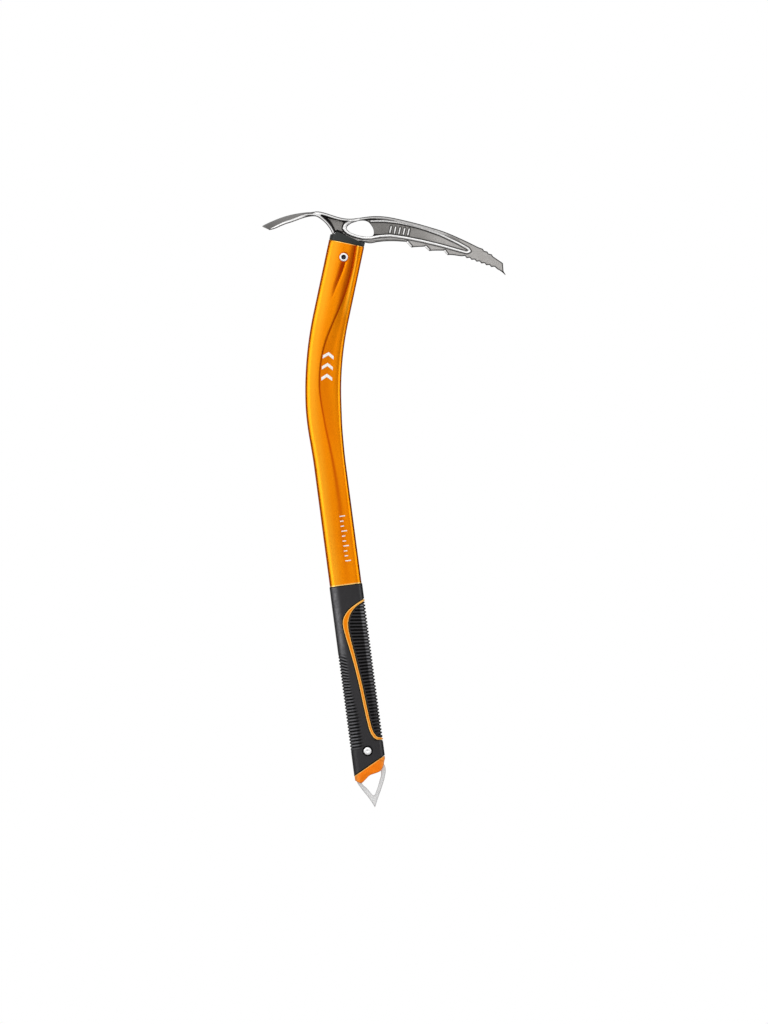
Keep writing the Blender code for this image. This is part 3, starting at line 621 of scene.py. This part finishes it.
# The loop's edges on the side of the grip, as height and across, from the bottom up.
LOOP_OUTER = np.array([
    (66.4, 16.6), (66.8, 13.0), (68.0, 10.0), (71.5, 7.0), (78.0, 4.6), (86.0, 3.6), (100.0, 2.2),
    (125.0, 0.1), (147.0, -2.5), (163.0, -5.0), (176.0, -7.2), (184.0, -8.0), (189.5, -7.6),
    (194.5, -5.2), (200.0, 0.0), (206.0, 10.4), (208.6, 16.6),
]) * MM
LOOP_INNER = np.array([
    (68.4, 16.6), (69.4, 13.0), (72.5, 9.8), (78.0, 7.6), (86.0, 6.5), (100.0, 5.2), (120.0, 3.6),
    (140.0, 1.5), (158.0, -0.6), (171.0, -2.2), (181.0, -3.0), (187.0, -2.6), (192.0, -0.9),
    (197.5, 2.4), (202.5, 8.0), (206.8, 16.6),
]) * MM


def grip_surface(height, angle, lift):
    """Points of the grip's oval at an angle from +X, standing lift above it."""
    c, n = np.cos(angle), np.sin(angle)
    x = GRIP_HALF_WIDTH * np.sign(c) * np.abs(c) ** (2 / OVAL_POWER)
    y = GRIP_HALF_DEPTH * np.sign(n) * np.abs(n) ** (2 / OVAL_POWER)
    out_x = np.sign(x) * np.abs(x / GRIP_HALF_WIDTH) ** (OVAL_POWER - 1) / GRIP_HALF_WIDTH
    out_y = np.sign(y) * np.abs(y / GRIP_HALF_DEPTH) ** (OVAL_POWER - 1) / GRIP_HALF_DEPTH
    length = np.hypot(out_x, out_y)
    return np.stack([x + lift * out_x / length, y + lift * out_y / length, height + 0 * x], axis=-1)


def inside_edge(edge, x, z):
    """How far places are inside an edge of the loop, seen from the side; below 0 outside."""
    reach = 0.1 * MM
    slope = (curve_through(z + reach, edge, 1) - curve_through(z - reach, edge, 1)) / (2 * reach)
    level = (x - curve_through(z, edge, 1)) / np.hypot(1, slope)
    return np.minimum(level, np.minimum(z - edge[0, 0], edge[-1, 0] - z))


def ribs(phase, share):
    """Flat-topped ribs, one for each whole phase: 1 on a rib and 0 in the slot between two."""
    wave = 0.5 + 0.5 * np.cos(2 * np.pi * phase)
    return smooth(wave, share - 0.22, share + 0.22)


def by_side(x):
    """1 beside the grip's two narrow sides, and 0 on the sides themselves and further in."""
    from_side = GRIP_HALF_WIDTH - np.abs(x)
    return smooth(from_side, 0.05 * MM, 0.35 * MM) * fade(from_side, 0.9 * MM, 1.9 * MM)


def rivet_well(x, z, radius):
    """1 in the round well that the sleeve leaves for the spike's rivet."""
    return fade(from_rivet(x, z, SPIKE_RIVET), radius, radius + 0.6 * MM)


def sleeve_ribs(x, z):
    """Where the sleeve has slots, and where the crests of the ribs between them are."""
    slant = 0.5 * smooth(z, 112 * MM, 150 * MM)
    rib = ribs((z + slant * (x + GRIP_HALF_WIDTH)) / RIB_PITCH, 0.40)
    edge = -4.5 * MM - 4.5 * MM * smooth(z, 85 * MM, 130 * MM)
    ribbed = fade(x, edge - 2 * MM, edge + 2 * MM) * smooth(z, 57 * MM, 64 * MM) * fade(z, 150 * MM, 158 * MM)
    return ribbed * (1 - rib), 0.6 * ribbed * rib * fade(x, -10 * MM, -6 * MM)


def sleeve_lift(x, z):
    """How the sleeve stands off its oval: fine ribs on the left, the loop's bed and the rivet's well."""
    slot, crest = sleeve_ribs(x, z)
    bed = smooth(inside_edge(LOOP_OUTER, x, z), -0.8 * MM, -0.35 * MM)
    well = rivet_well(x, z, 4.8 * MM)
    return (0.4 * crest - 0.8 * slot - 1.5 * bed - 1.5 * well) * MM


def sleeve_shades(x, z):
    """Painted shade, black, in the sleeve's slots, gaps and rivet well, at its ends and beside its sides; and
    painted highlights, grey, on its crests and in a band on the left.
    """
    slot, crest = sleeve_ribs(x, z)
    gap = smooth(inside_edge(LOOP_OUTER, x, z), -1.0 * MM, -0.6 * MM)
    well = rivet_well(x, z, 5.0 * MM)
    low_end = fade(z - END_MIDDLE - x * END_SLOPE, 0.6 * MM, 1.2 * MM)
    high_end = smooth(z, GRIP_TOP - 1.2 * MM, GRIP_TOP - 0.6 * MM)
    # painted highlight, a grey band down the left of the upper sleeve
    worn = 0.75 * bell(x, -11.8 * MM, 2.6 * MM) * smooth(z, 120 * MM, 175 * MM)
    # painted shade, black, in slots, gaps and the rivet's well, at both ends and beside the sides
    black = np.max([slot, gap, well, low_end, high_end, by_side(x)], axis=0)
    return black, np.maximum(crest, worn) * (1 - black)


def paint_shades(mesh, shades):
    """Paints rows of (slot, crest) pairs on a grid mesh."""
    for name, rows in zip(("slot", "crest"), zip(*shades)):
        paint(mesh, name, np.ravel(rows))


def make_sleeve(finish):
    """The black grip, cut off at a slant above the collar."""
    columns, step, edge, low_edge = 400, 0.36 * MM, 0.9 * MM, 0.35 * MM
    angle = np.linspace(0, 2 * np.pi, columns, endpoint=False)
    x = grip_surface(0.0, angle, 0.0)[:, 0]
    cut = END_MIDDLE - 0.1 * MM + x * END_SLOPE
    level_from = 60 * MM  # above this the rows are level, and below it they ease into the cut
    rounded, slanted = (0, 0.004, 0.008, 0.014), np.linspace(0.02, 1, 86)
    heights = [cut + t * (level_from - cut) for t in (*rounded, *slanted)]
    heights += [np.full(columns, z) for z in np.arange(level_from, GRIP_TOP, step)[1:]]
    heights.append(np.full(columns, GRIP_TOP))
    # The first row and the last turn in under the sleeve's two ends.
    rows = [grip_surface(cut + 0.5 * MM, angle, -2.4 * MM)]
    shades = [sleeve_shades(x, cut)]
    for height in heights:
        low = np.clip((height - cut) / low_edge, 0, 1)
        high = np.clip((GRIP_TOP - height) / edge, 0, 1)
        rounding = low_edge * (1 - np.sqrt(1 - (1 - low) ** 2)) + edge * (1 - np.sqrt(1 - (1 - high) ** 2))
        rows.append(grip_surface(height, angle, sleeve_lift(x, height) - rounding))
        shades.append(sleeve_shades(x, height))
    rows.append(grip_surface(GRIP_TOP - 0.2 * MM, angle, -1.6 * MM))
    shades.append(shades[-1])
    mesh = grid_mesh(rows, ring=True)
    paint_shades(mesh, shades)
    add_piece("grip_rubber", mesh, finish, ["grip_sleeve"])


def moulded_patch(edge, rows, columns, lift, shade):
    """A skin over the part of the grip inside an edge, wrapping round from the front to the back."""
    heights = edge[0, 0] + (edge[-1, 0] - edge[0, 0]) * (1 - np.cos(np.linspace(0, np.pi, rows))) / 2
    spread = np.sin(np.linspace(-np.pi / 2, np.pi / 2, columns))
    skin, shades = [], []
    for z in heights:
        across = min(curve_through(z, edge, 1), GRIP_HALF_WIDTH) / GRIP_HALF_WIDTH
        angle = spread * math.acos(math.copysign(abs(across) ** (OVAL_POWER / 2), across))
        x = grip_surface(z, angle, 0.0)[:, 0]
        skin.append(grip_surface(z, angle, lift(x, np.full(columns, z))))
        shades.append(shade(x, np.full(columns, z)))
    mesh = grid_mesh(skin)
    paint_shades(mesh, shades)
    return mesh


def loop_lift(x, z):
    """The loop is a low rounded band, tucked in at its rim, and dips under the finger pad."""
    outer, inner = inside_edge(LOOP_OUTER, x, z), inside_edge(LOOP_INNER, x, z)
    crown = 0.5 * smooth(outer, -0.1 * MM, 0.9 * MM) * fade(inner, -0.8 * MM, 0.0)
    dip = 1.6 * smooth(inner, -0.15 * MM, 0.25 * MM) + 0.8 * (outer < 0.02 * MM)
    return (crown - 0.1 - dip) * MM


def loop_shades(x, z):
    """Painted shade in the loop's gap by the pad, and painted highlights along both its edges."""
    outer, inner = inside_edge(LOOP_OUTER, x, z), inside_edge(LOOP_INNER, x, z)
    rim = np.maximum(fade(outer, 0.5 * MM, 1.1 * MM), smooth(inner, -1.1 * MM, -0.5 * MM))
    return smooth(inner, -0.1 * MM, 0.1 * MM), rim


def pad_ribs(x, z):
    """Where the finger pad has cross slots, and where the beads between them are."""
    inner = inside_edge(LOOP_INNER, x, z)
    rib = ribs((z + 0.12 * smooth(z, 130 * MM, 190 * MM) * x) / PAD_PITCH, 0.42)
    slotted = smooth(inner, 1.3 * MM, 2.2 * MM)
    bead = smooth(x, 10.6 * MM, 12.2 * MM) * fade(x, 14.2 * MM, 15.2 * MM)
    return slotted * (1 - rib) * (1 - 0.3 * bead), slotted * rib * bead


def pad_lift(x, z):
    """The finger pad has deep cross slots and soft beads round its front edge."""
    inner = inside_edge(LOOP_INNER, x, z)
    slot, bead = pad_ribs(x, z)
    height = 0.55 * smooth(inner, 0.45 * MM, 1.2 * MM) - 0.35 - 0.9 * fade(inner, 0.35 * MM, 0.5 * MM)
    return (height + 0.35 * bead - 1.25 * slot) * MM


def pad_shades(x, z):
    """Painted shade, black, in the pad's slots, in the gap round it and by its sides, and a painted
    highlight, grey, on its upper beads.
    """
    slot, bead = pad_ribs(x, z)
    gap = fade(inside_edge(LOOP_INNER, x, z), 0.4 * MM, 0.9 * MM)
    return np.max([slot, gap, by_side(x)], axis=0), 1.3 * bead * smooth(z, 80 * MM, 170 * MM)


def make_loop(finish):
    """The orange line that runs round the finger pad, on both sides of the grip."""
    mesh = moulded_patch(LOOP_OUTER, 700, 160, loop_lift, loop_shades)
    add_piece("grip_loop_inlay", mesh, finish, ["grip_loop"])


def make_pad(finish):
    """The ribbed pad inside the loop, round the grip's front."""
    mesh = moulded_patch(LOOP_INNER, 900, 150, pad_lift, pad_shades)
    add_piece("grip_finger_pad", mesh, finish, ["finger_pad"])


def make_collar(finish):
    """The end collar, with painted highlights on its upward edge and towards both sides, and painted shade
    along its other edges.
    """
    mesh = worn_mesh("spike_collar", voxel=0.3 * MM, rounds=8, swell=0.15 * MM)
    places, _ = vertices_of(mesh)
    from_cut = END_MIDDLE + places[:, 0] * END_SLOPE - places[:, 2]
    crest = fade(from_cut, 0.7 * MM, 1.1 * MM)
    # painted highlight on the upward edge and towards both sides
    paint(mesh, "crest", 1.3 * crest + 0.3 * smooth(np.abs(places[:, 0]), 9 * MM, 15 * MM))
    # painted shade along the edges
    paint(mesh, "slot", 0.25 * outline(mesh, 0.3 * MM, 0.9 * MM, 0.3) * (1 - crest))
    add_piece("end_collar", mesh, finish, ["spike_collar"])


def make_spike(finish):
    """The spike's plate, with painted shade along its cut edges."""
    mesh = worn_mesh("spike", voxel=0.25 * MM, rounds=2)
    # painted shade along the plate's cut edges
    paint(mesh, "painted_shade", 0.45 * outline(mesh, 0.3 * MM, 0.7 * MM))
    add_piece("spike_blade", mesh, finish, ["spike"])


# ---- rivets ----


def turned(middle, half_profile):
    """A surface turned about an axis across the axe, both ends alike: the half profile is (y, radius)."""
    sides = 72
    angle = np.linspace(0, 2 * np.pi, sides, endpoint=False)
    profile = [(-y, radius) for y, radius in half_profile] + half_profile[::-1]
    rows = []
    for y, radius in profile:
        across, up = middle.x + radius * np.cos(angle), middle.z + radius * np.sin(angle)
        rows.append(np.stack([across, np.full(sides, y), up], axis=-1))
    return grid_mesh(rows, ring=True)


def quarter(y, radius, size, start, end):
    """Points (y, radius) round a quarter of a small circle, between two angles in degrees."""
    steps = 7
    turns = np.radians(np.linspace(start, end, steps))
    return [(y + size * math.sin(t), radius + size * math.cos(t)) for t in turns]


def make_head_rivet(finish):
    """A tubular rivet: a rolled white ring round a deep bore, with painted shade in the bore."""
    outer, top = (HEAD_RIVET_HIGH.x - HEAD_RIVET_LOW.x) / 2, HEAD_RIVET_HIGH.y
    bore, floor = 2.2 * MM, top - 3.2 * MM
    inner_lip, outer_lip = 0.5 * MM, 0.8 * MM
    half = [(floor - 0.5 * MM, 0.02 * MM), (floor - 0.3 * MM, 0.8 * MM)]
    half += [(floor, 0.85 * bore), (floor + 0.4 * MM, bore)]
    half += quarter(top - inner_lip, bore + inner_lip, inner_lip, 180, 90)
    half += quarter(top - outer_lip, outer - outer_lip, outer_lip, 90, 0)
    half.append((0.7 * top, outer))
    mesh = turned(HEAD_RIVET, half)
    places, _ = vertices_of(mesh)
    from_axis = from_rivet(places[:, 0], places[:, 2], HEAD_RIVET)
    # painted shade in the bore
    paint(mesh, "painted_shade", fade(from_axis, bore - 0.1 * MM, bore + 0.5 * MM))
    add_piece("head_rivet_tube", mesh, finish, ["head_rivet"], 60)


def make_spike_rivet(finish):
    """A solid rivet with a low dome, dimpled where it was set."""
    outer, top = (SPIKE_RIVET_HIGH.x - SPIKE_RIVET_LOW.x) / 2, SPIKE_RIVET_HIGH.y
    crown, dimple = 0.9 * MM, 0.45 * MM
    half = []
    for t in np.linspace(0.01, 1, 24):
        dome = crown * (1 - math.sqrt(1 - 0.96 * t**4))
        half.append((top - dome - dimple * bell(t, 0, 0.3), outer * t))
    half.append((0.75 * top, outer))
    mesh = turned(SPIKE_RIVET, half)
    places, _ = vertices_of(mesh)
    # painted shade round the foot of the dome
    paint(mesh, "painted_shade", smooth(top - np.abs(places[:, 1]), 0.8 * MM, 1.6 * MM))
    add_piece("spike_rivet_dome", mesh, finish, ["spike_rivet"], 60)


# ---- the packers inside the tube, which keep their CAD shapes ----

PACKERS = [f"{end}_packer_{face}" for end in ("head", "spike") for face in ("front", "back")]


def finish_packers(finish):
    """Gives the packers their material."""
    for node in PACKERS:
        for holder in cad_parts[node].material_slots:
            holder.material = finish


# ---- materials ----


class Nodes:
    """A short way to write a material's node tree."""

    def __init__(self, name):
        self.material = bpy.data.materials.new(name)
        self.material.use_nodes = True
        self.tree = self.material.node_tree
        self.shader = self.tree.nodes["Principled BSDF"]
        self.place = self.node("ShaderNodeTexCoord").outputs["Object"]

    def node(self, kind, inputs=None, **settings):
        """Adds a node with its settings; inputs are values or sockets by name or number."""
        made = self.tree.nodes.new(kind)
        for key, value in settings.items():
            setattr(made, key, value)
        for key, value in (inputs or {}).items():
            self.put(made.inputs[key], value)
        return made

    def put(self, socket, value):
        """Links a socket to another, or gives it a plain value."""
        if isinstance(value, bpy.types.NodeSocket):
            self.tree.links.new(value, socket)
        else:
            socket.default_value = value

    def set(self, **values):
        """Sets the shader's sockets: the keys are their names with underscores."""
        for key, value in values.items():
            self.put(self.shader.inputs[key.replace("_", " ").title().replace("Ior", "IOR")], value)

    def noise(self, scale, detail=3.0, stretch=None):
        """Cloudy noise from 0 to 1; stretch scales the place along each axis."""
        place = self.place
        if stretch:
            place = self.node("ShaderNodeMapping", {"Vector": place, "Scale": stretch}).outputs[0]
        inputs = {"Vector": place, "Scale": scale, "Detail": detail, "Roughness": 0.55}
        return self.node("ShaderNodeTexNoise", inputs).outputs["Fac"]

    def ramp(self, value, low, high, start=0.0, end=1.0):
        """A number taken in a straight line from one range to another."""
        inputs = {"Value": value, "From Min": low, "From Max": high, "To Min": start, "To Max": end}
        return self.node("ShaderNodeMapRange", inputs).outputs["Result"]

    def spread(self, value, start=0.0, end=1.0):
        """The middle of a noise, spread between two values."""
        return self.ramp(value, 0.3, 0.7, start, end)

    def times(self, a, b):
        """Two numbers multiplied."""
        return self.node("ShaderNodeMath", {0: a, 1: b}, operation="MULTIPLY").outputs[0]

    def mix(self, factor, a, b):
        """A colour between two, from a at 0 to b at 1."""
        made = self.node("ShaderNodeMix", data_type="RGBA")
        for index, value in ((0, factor), (6, a), (7, b)):
            self.put(made.inputs[index], value)
        return made.outputs[2]

    def painted(self, name):
        """A number painted on the mesh's vertices."""
        return self.node("ShaderNodeAttribute", attribute_name=name).outputs["Fac"]

    def edges(self, low=0.52, high=0.60):
        """1 on sharp outer edges, from how sharply the surface turns, for painted highlights there."""
        return self.ramp(self.node("ShaderNodeNewGeometry").outputs["Pointiness"], low, high)

    def bump(self, height, distance, strength):
        """Small relief from a height, as deep as the distance in metres."""
        inputs = {"Height": height, "Distance": distance, "Strength": strength}
        self.set(normal=self.node("ShaderNodeBump", inputs).outputs["Normal"])


def grey(level):
    """A grey as a colour."""
    return (level, level, level, 1.0)


def anodised_orange():
    """Satin orange anodising, with painted highlights, painted shade in the pressed lines and beside the
    narrow sides, a bright cut edge at the tube's upper end, and a painted highlight just above the grip.
    """
    n = Nodes("anodised_orange")
    grain = n.noise(2600, 2.0)
    base = n.mix(n.spread(n.noise(24, 3.0)), (0.80, 0.205, 0.0012, 1), (0.84, 0.240, 0.002, 1))
    base = n.mix(n.times(n.ramp(grain, 0.45, 0.8), 0.3), base, (0.96, 0.38, 0.006, 1))
    # painted highlights, lighter and yellower, left of the middle, on the rib past the crease and by the edge
    base = n.mix(n.painted("painted_sheen"), base, (0.98, 0.50, 0.030, 1))
    # painted shade, deep red-brown, along the crease, beside it, in the scoop and round the head's rivet
    base = n.mix(n.painted("shade"), base, (0.44, 0.042, 0.001, 1))
    # painted shade, dark red, beside the tube's two narrow sides
    base = n.mix(n.painted("edge"), base, (0.22, 0.035, 0.002, 1))
    # a bright cut edge at the tube's upper end, and a painted highlight just above the grip
    base = n.mix(n.painted("bare_and_highlight"), base, (0.98, 0.80, 0.30, 1))
    n.set(base_color=base, metallic=1.0, roughness=n.spread(n.noise(900, 3.0), 0.26, 0.36))
    n.set(specular_tint=(0.75, 0.22, 0.02, 1))
    n.bump(grain, 0.06 * MM, 0.3)
    return n.material


def print_white():
    """Matt white ink, worn through in specks."""
    n = Nodes("white_print")
    wear = n.ramp(n.noise(700, 4.0), 0.66, 0.74)
    n.set(base_color=n.mix(wear, (0.86, 0.85, 0.83, 1), (0.90, 0.45, 0.12, 1)))
    n.set(roughness=n.spread(n.noise(500), 0.45, 0.6))
    n.bump(n.noise(1500), 0.05 * MM, 0.4)
    return n.material


def forged_steel():
    """Shot-blasted steel: mid grey, darker in the pockets, with bright teeth faces and mark strokes, painted
    highlights on the ribs, rims and sharp edges, and painted shade along the edges and beside the ribs.
    """
    n = Nodes("forged_steel")
    cloud = n.spread(n.noise(55, 5.0))
    base = n.mix(cloud, (0.39, 0.376, 0.362, 1), (0.44, 0.426, 0.412, 1))
    base = n.mix(n.painted("web"), base, n.mix(cloud, (0.235, 0.225, 0.215, 1), (0.285, 0.275, 0.262, 1)))
    base = n.mix(n.painted("sheet"), base, n.mix(cloud, (0.56, 0.545, 0.53, 1), (0.66, 0.64, 0.62, 1)))
    # painted highlight on sharp edges
    base = n.mix(n.times(n.edges(0.505, 0.54), 0.35), base, (0.66, 0.65, 0.64, 1))
    # painted shade, near black, along the edges and beside the raised lines
    base = n.mix(n.painted("scale"), base, (0.010, 0.009, 0.009, 1))
    # painted highlights on the rib, lines and rims, and the bright teeth faces and mark strokes
    base = n.mix(n.painted("ground_and_highlight"), base, (0.93, 0.925, 0.92, 1))
    n.set(base_color=base, metallic=0.85, roughness=n.spread(n.noise(420, 4.0), 0.36, 0.50))
    n.bump(n.noise(1500, 3.0), 0.12 * MM, 0.45)
    return n.material


def bright_steel(name, tone, low_roughness, high_roughness, stretch):
    """Stainless steel with fine brushing along one way, painted highlights on its sharp edges and painted
    shade where marked.
    """
    n = Nodes(name)
    brushed = n.noise(900, 3.0, stretch)
    base = n.mix(n.spread(n.noise(80)), grey(tone), grey(0.86 * tone))
    # painted highlight on sharp edges
    base = n.mix(n.times(n.edges(), 0.5), base, grey(0.88))
    # painted shade in the rivet's bore, round the dome's foot and along the plate's cut edges
    base = n.mix(n.painted("painted_shade"), base, (0.045, 0.038, 0.050, 1))
    n.set(base_color=base, metallic=0.9, roughness=n.spread(brushed, low_roughness, high_roughness))
    n.bump(brushed, 0.03 * MM, 0.25)
    return n.material


def plate_steel():
    """The spike's plate, brushed along its length."""
    return bright_steel("stainless_plate", 0.72, 0.30, 0.40, (1, 1, 0.06))


def rivet_steel():
    """The rivets, with an even grain."""
    return bright_steel("rivet_steel", 0.92, 0.22, 0.32, (1, 1, 1))


def black_rubber():
    """Matt black rubber, with painted shade, black, in its slots and gaps, and painted highlights, grey, on
    its crests.
    """
    n = Nodes("black_rubber")
    grain = n.noise(1700)
    base = n.mix(n.spread(n.noise(45)), (0.0085, 0.0075, 0.009, 1), (0.014, 0.0125, 0.015, 1))
    # painted highlights, grey, on the crests and beads
    base = n.mix(n.times(n.painted("crest"), n.spread(n.noise(300), 0.4, 1.0)), base, (0.19, 0.19, 0.20, 1))
    # painted shade, near black, in the slots, gaps and beside the sides
    base = n.mix(n.painted("slot"), base, grey(0.002))
    n.set(base_color=base, roughness=n.spread(grain, 0.27, 0.38))
    # the painted shade also takes away most of the reflection there
    n.set(specular_ior_level=n.ramp(n.painted("slot"), 0.0, 1.0, 0.34, 0.04))
    n.bump(grain, 0.12 * MM, 0.4)
    return n.material


def moulded_orange(name, tone, shade):
    """Matt moulded orange, with painted highlights along its edges and painted shade in its gaps."""
    n = Nodes(name)
    grain = n.noise(1400, 2.0)
    base = n.mix(n.spread(n.noise(55)), tone, shade)
    # painted highlights, yellow, along the edges
    base = n.mix(n.times(n.painted("crest"), 0.75), base, (1.0, 0.62, 0.16, 1))
    # painted shade, dark red-brown, in the gaps
    base = n.mix(n.painted("slot"), base, (0.10, 0.015, 0.002, 1))
    n.set(base_color=base, roughness=n.spread(grain, 0.38, 0.52), specular_ior_level=0.03)
    n.bump(grain, 0.12 * MM, 0.4)
    return n.material


def orange_elastomer():
    """The loop on the grip."""
    return moulded_orange("orange_elastomer", (0.84, 0.235, 0.003, 1), (0.80, 0.205, 0.002, 1))


def orange_nylon():
    """The collar above the spike."""
    return moulded_orange("orange_nylon", (0.93, 0.225, 0.008, 1), (0.86, 0.180, 0.006, 1))


def black_nylon():
    """Grained black nylon with a faint green cast."""
    n = Nodes("black_nylon")
    grain = n.noise(1600, 2.0)
    base = n.mix(n.spread(n.noise(70)), (0.0035, 0.006, 0.005, 1), (0.008, 0.012, 0.0105, 1))
    n.set(base_color=base, roughness=n.spread(grain, 0.30, 0.42), specular_ior_level=0.44)
    n.bump(grain, 0.1 * MM, 0.4)
    return n.material


def natural_nylon():
    """Undyed nylon, for the packers inside the tube."""
    n = Nodes("natural_nylon")
    cloud = n.noise(90)
    n.set(base_color=n.mix(cloud, (0.42, 0.41, 0.37, 1), (0.50, 0.49, 0.44, 1)))
    n.set(roughness=n.spread(cloud, 0.45, 0.6))
    n.bump(n.noise(900), 0.1 * MM, 0.4)
    return n.material


# ---- studio ----

FRONT_LEVEL = 1.28
FLOOR_HALF = 6.0
AIM = Vector((0.05, 0.0, 0.35))  # where the lights point

# The softboxes: name, place, width and height, and brightness, which is its own, whatever its size.
SOFTBOXES = [
    ("left_strip", (-1.60, -0.45, 0.5), (1.00, 1.9), 1.8),
    ("right_strip", (1.80, -0.10, 0.5), (0.60, 1.9), 2.4),
    ("back_strip", (-1.3, 1.3, 0.8), (0.5, 1.5), 1.2),
    ("overhead", (-0.2, -1.3, 1.8), (1.2, 0.8), 1.6),
]

# The camera: its roll, how far off it is, and as shares of the axe's height how much it sees and where it
# looks, across the picture and up it.
ROLL = math.radians(7.5)
CAMERA_BACK = 3.0
SEEN, LOOK_ACROSS, LOOK_UP = 1.71, 0.015, 0.4932

# How bright the studio is, as a share of its front, from behind the axe (0) round to its front (1).
STUDIO = [(0.0, 0.30), (0.12, 0.16), (0.3, 0.10), (0.5, 0.20), (0.63, 0.42), (0.84, 0.98), (1.0, 1.0)]


def make_floor():
    """A plain pale floor at the spike's point."""
    mesh = bpy.data.meshes.new("floor")
    bm = bmesh.new()
    bmesh.ops.create_grid(bm, x_segments=1, y_segments=1, size=FLOOR_HALF)
    bm.to_mesh(mesh)
    bm.free()
    floor = bpy.data.objects.new("floor", mesh)
    bpy.context.scene.collection.objects.link(floor)
    n = Nodes("pale_floor")
    n.set(base_color=n.mix(n.noise(2), grey(0.84), grey(0.88)), roughness=0.7)
    mesh.materials.append(n.material)


def make_world():
    """A studio that lights the axe mostly from the front, with dark sides that draw its edges. The camera
    sees it as white."""
    world = bpy.data.worlds.new("studio")
    bpy.context.scene.world = world
    world.use_nodes = True
    tree = world.node_tree
    place = tree.nodes.new("ShaderNodeTexCoord")
    split = tree.nodes.new("ShaderNodeSeparateXYZ")
    turn = tree.nodes.new("ShaderNodeMapRange")
    turn.inputs["From Min"].default_value = 1.0
    turn.inputs["From Max"].default_value = -1.0
    ramp = tree.nodes.new("ShaderNodeValToRGB")
    stops = ramp.color_ramp.elements
    for position, level in STUDIO[1:-1]:
        stops.new(position).color = grey(level)
    stops[0].color, stops[-1].color = grey(STUDIO[0][1]), grey(STUDIO[-1][1])
    level = tree.nodes.new("ShaderNodeMath")
    level.operation = "MULTIPLY"
    level.inputs[1].default_value = FRONT_LEVEL
    path = tree.nodes.new("ShaderNodeLightPath")
    seen = tree.nodes.new("ShaderNodeMath")
    seen.operation = "MAXIMUM"
    tree.links.new(place.outputs["Generated"], split.inputs[0])
    tree.links.new(split.outputs["Y"], turn.inputs["Value"])
    tree.links.new(turn.outputs["Result"], ramp.inputs["Fac"])
    tree.links.new(ramp.outputs["Color"], level.inputs[0])
    tree.links.new(level.outputs[0], seen.inputs[0])
    tree.links.new(path.outputs["Is Camera Ray"], seen.inputs[1])
    tree.links.new(seen.outputs[0], tree.nodes["Background"].inputs["Strength"])
    tree.nodes["Background"].inputs["Color"].default_value = grey(1.0)


def softbox(name, place, size, brightness):
    """An area light that faces the axe."""
    data = bpy.data.lights.new(name, "AREA")
    data.shape = "RECTANGLE"
    data.size, data.size_y = size
    data.energy = brightness * math.pi * size[0] * size[1]
    light = bpy.data.objects.new(name, data)
    bpy.context.scene.collection.objects.link(light)
    light.location = place
    light.rotation_euler = (AIM - Vector(place)).to_track_quat("-Z", "Y").to_euler()


def make_camera():
    """Looks straight along +Y, square to the axe, turned a little so that the shaft leans."""
    data = bpy.data.cameras.new("camera")
    data.type = "ORTHO"
    data.ortho_scale = SEEN * HEAD_HIGH.z
    camera = bpy.data.objects.new("camera", data)
    bpy.context.scene.collection.objects.link(camera)
    across, up = LOOK_ACROSS * HEAD_HIGH.z, LOOK_UP * HEAD_HIGH.z
    camera.location = (
        across * math.cos(ROLL) + up * math.sin(ROLL),
        -CAMERA_BACK,
        up * math.cos(ROLL) - across * math.sin(ROLL),
    )
    camera.rotation_euler = (math.radians(90), ROLL, 0)
    bpy.context.scene.camera = camera


def main():
    """Makes the camera and the studio, and then each piece of the axe."""
    make_camera()
    make_floor()
    make_world()
    for box in SOFTBOXES:
        softbox(*box)
    bpy.context.scene.view_settings.view_transform = "Standard"

    make_shaft(anodised_orange())
    make_marks(print_white())
    make_head(forged_steel())
    make_gasket(black_nylon())

    rubber = black_rubber()
    make_sleeve(rubber)
    make_loop(orange_elastomer())
    make_pad(rubber)

    make_collar(orange_nylon())
    make_spike(plate_steel())
    bright = rivet_steel()
    make_head_rivet(bright)
    make_spike_rivet(bright)
    finish_packers(natural_nylon())


main()
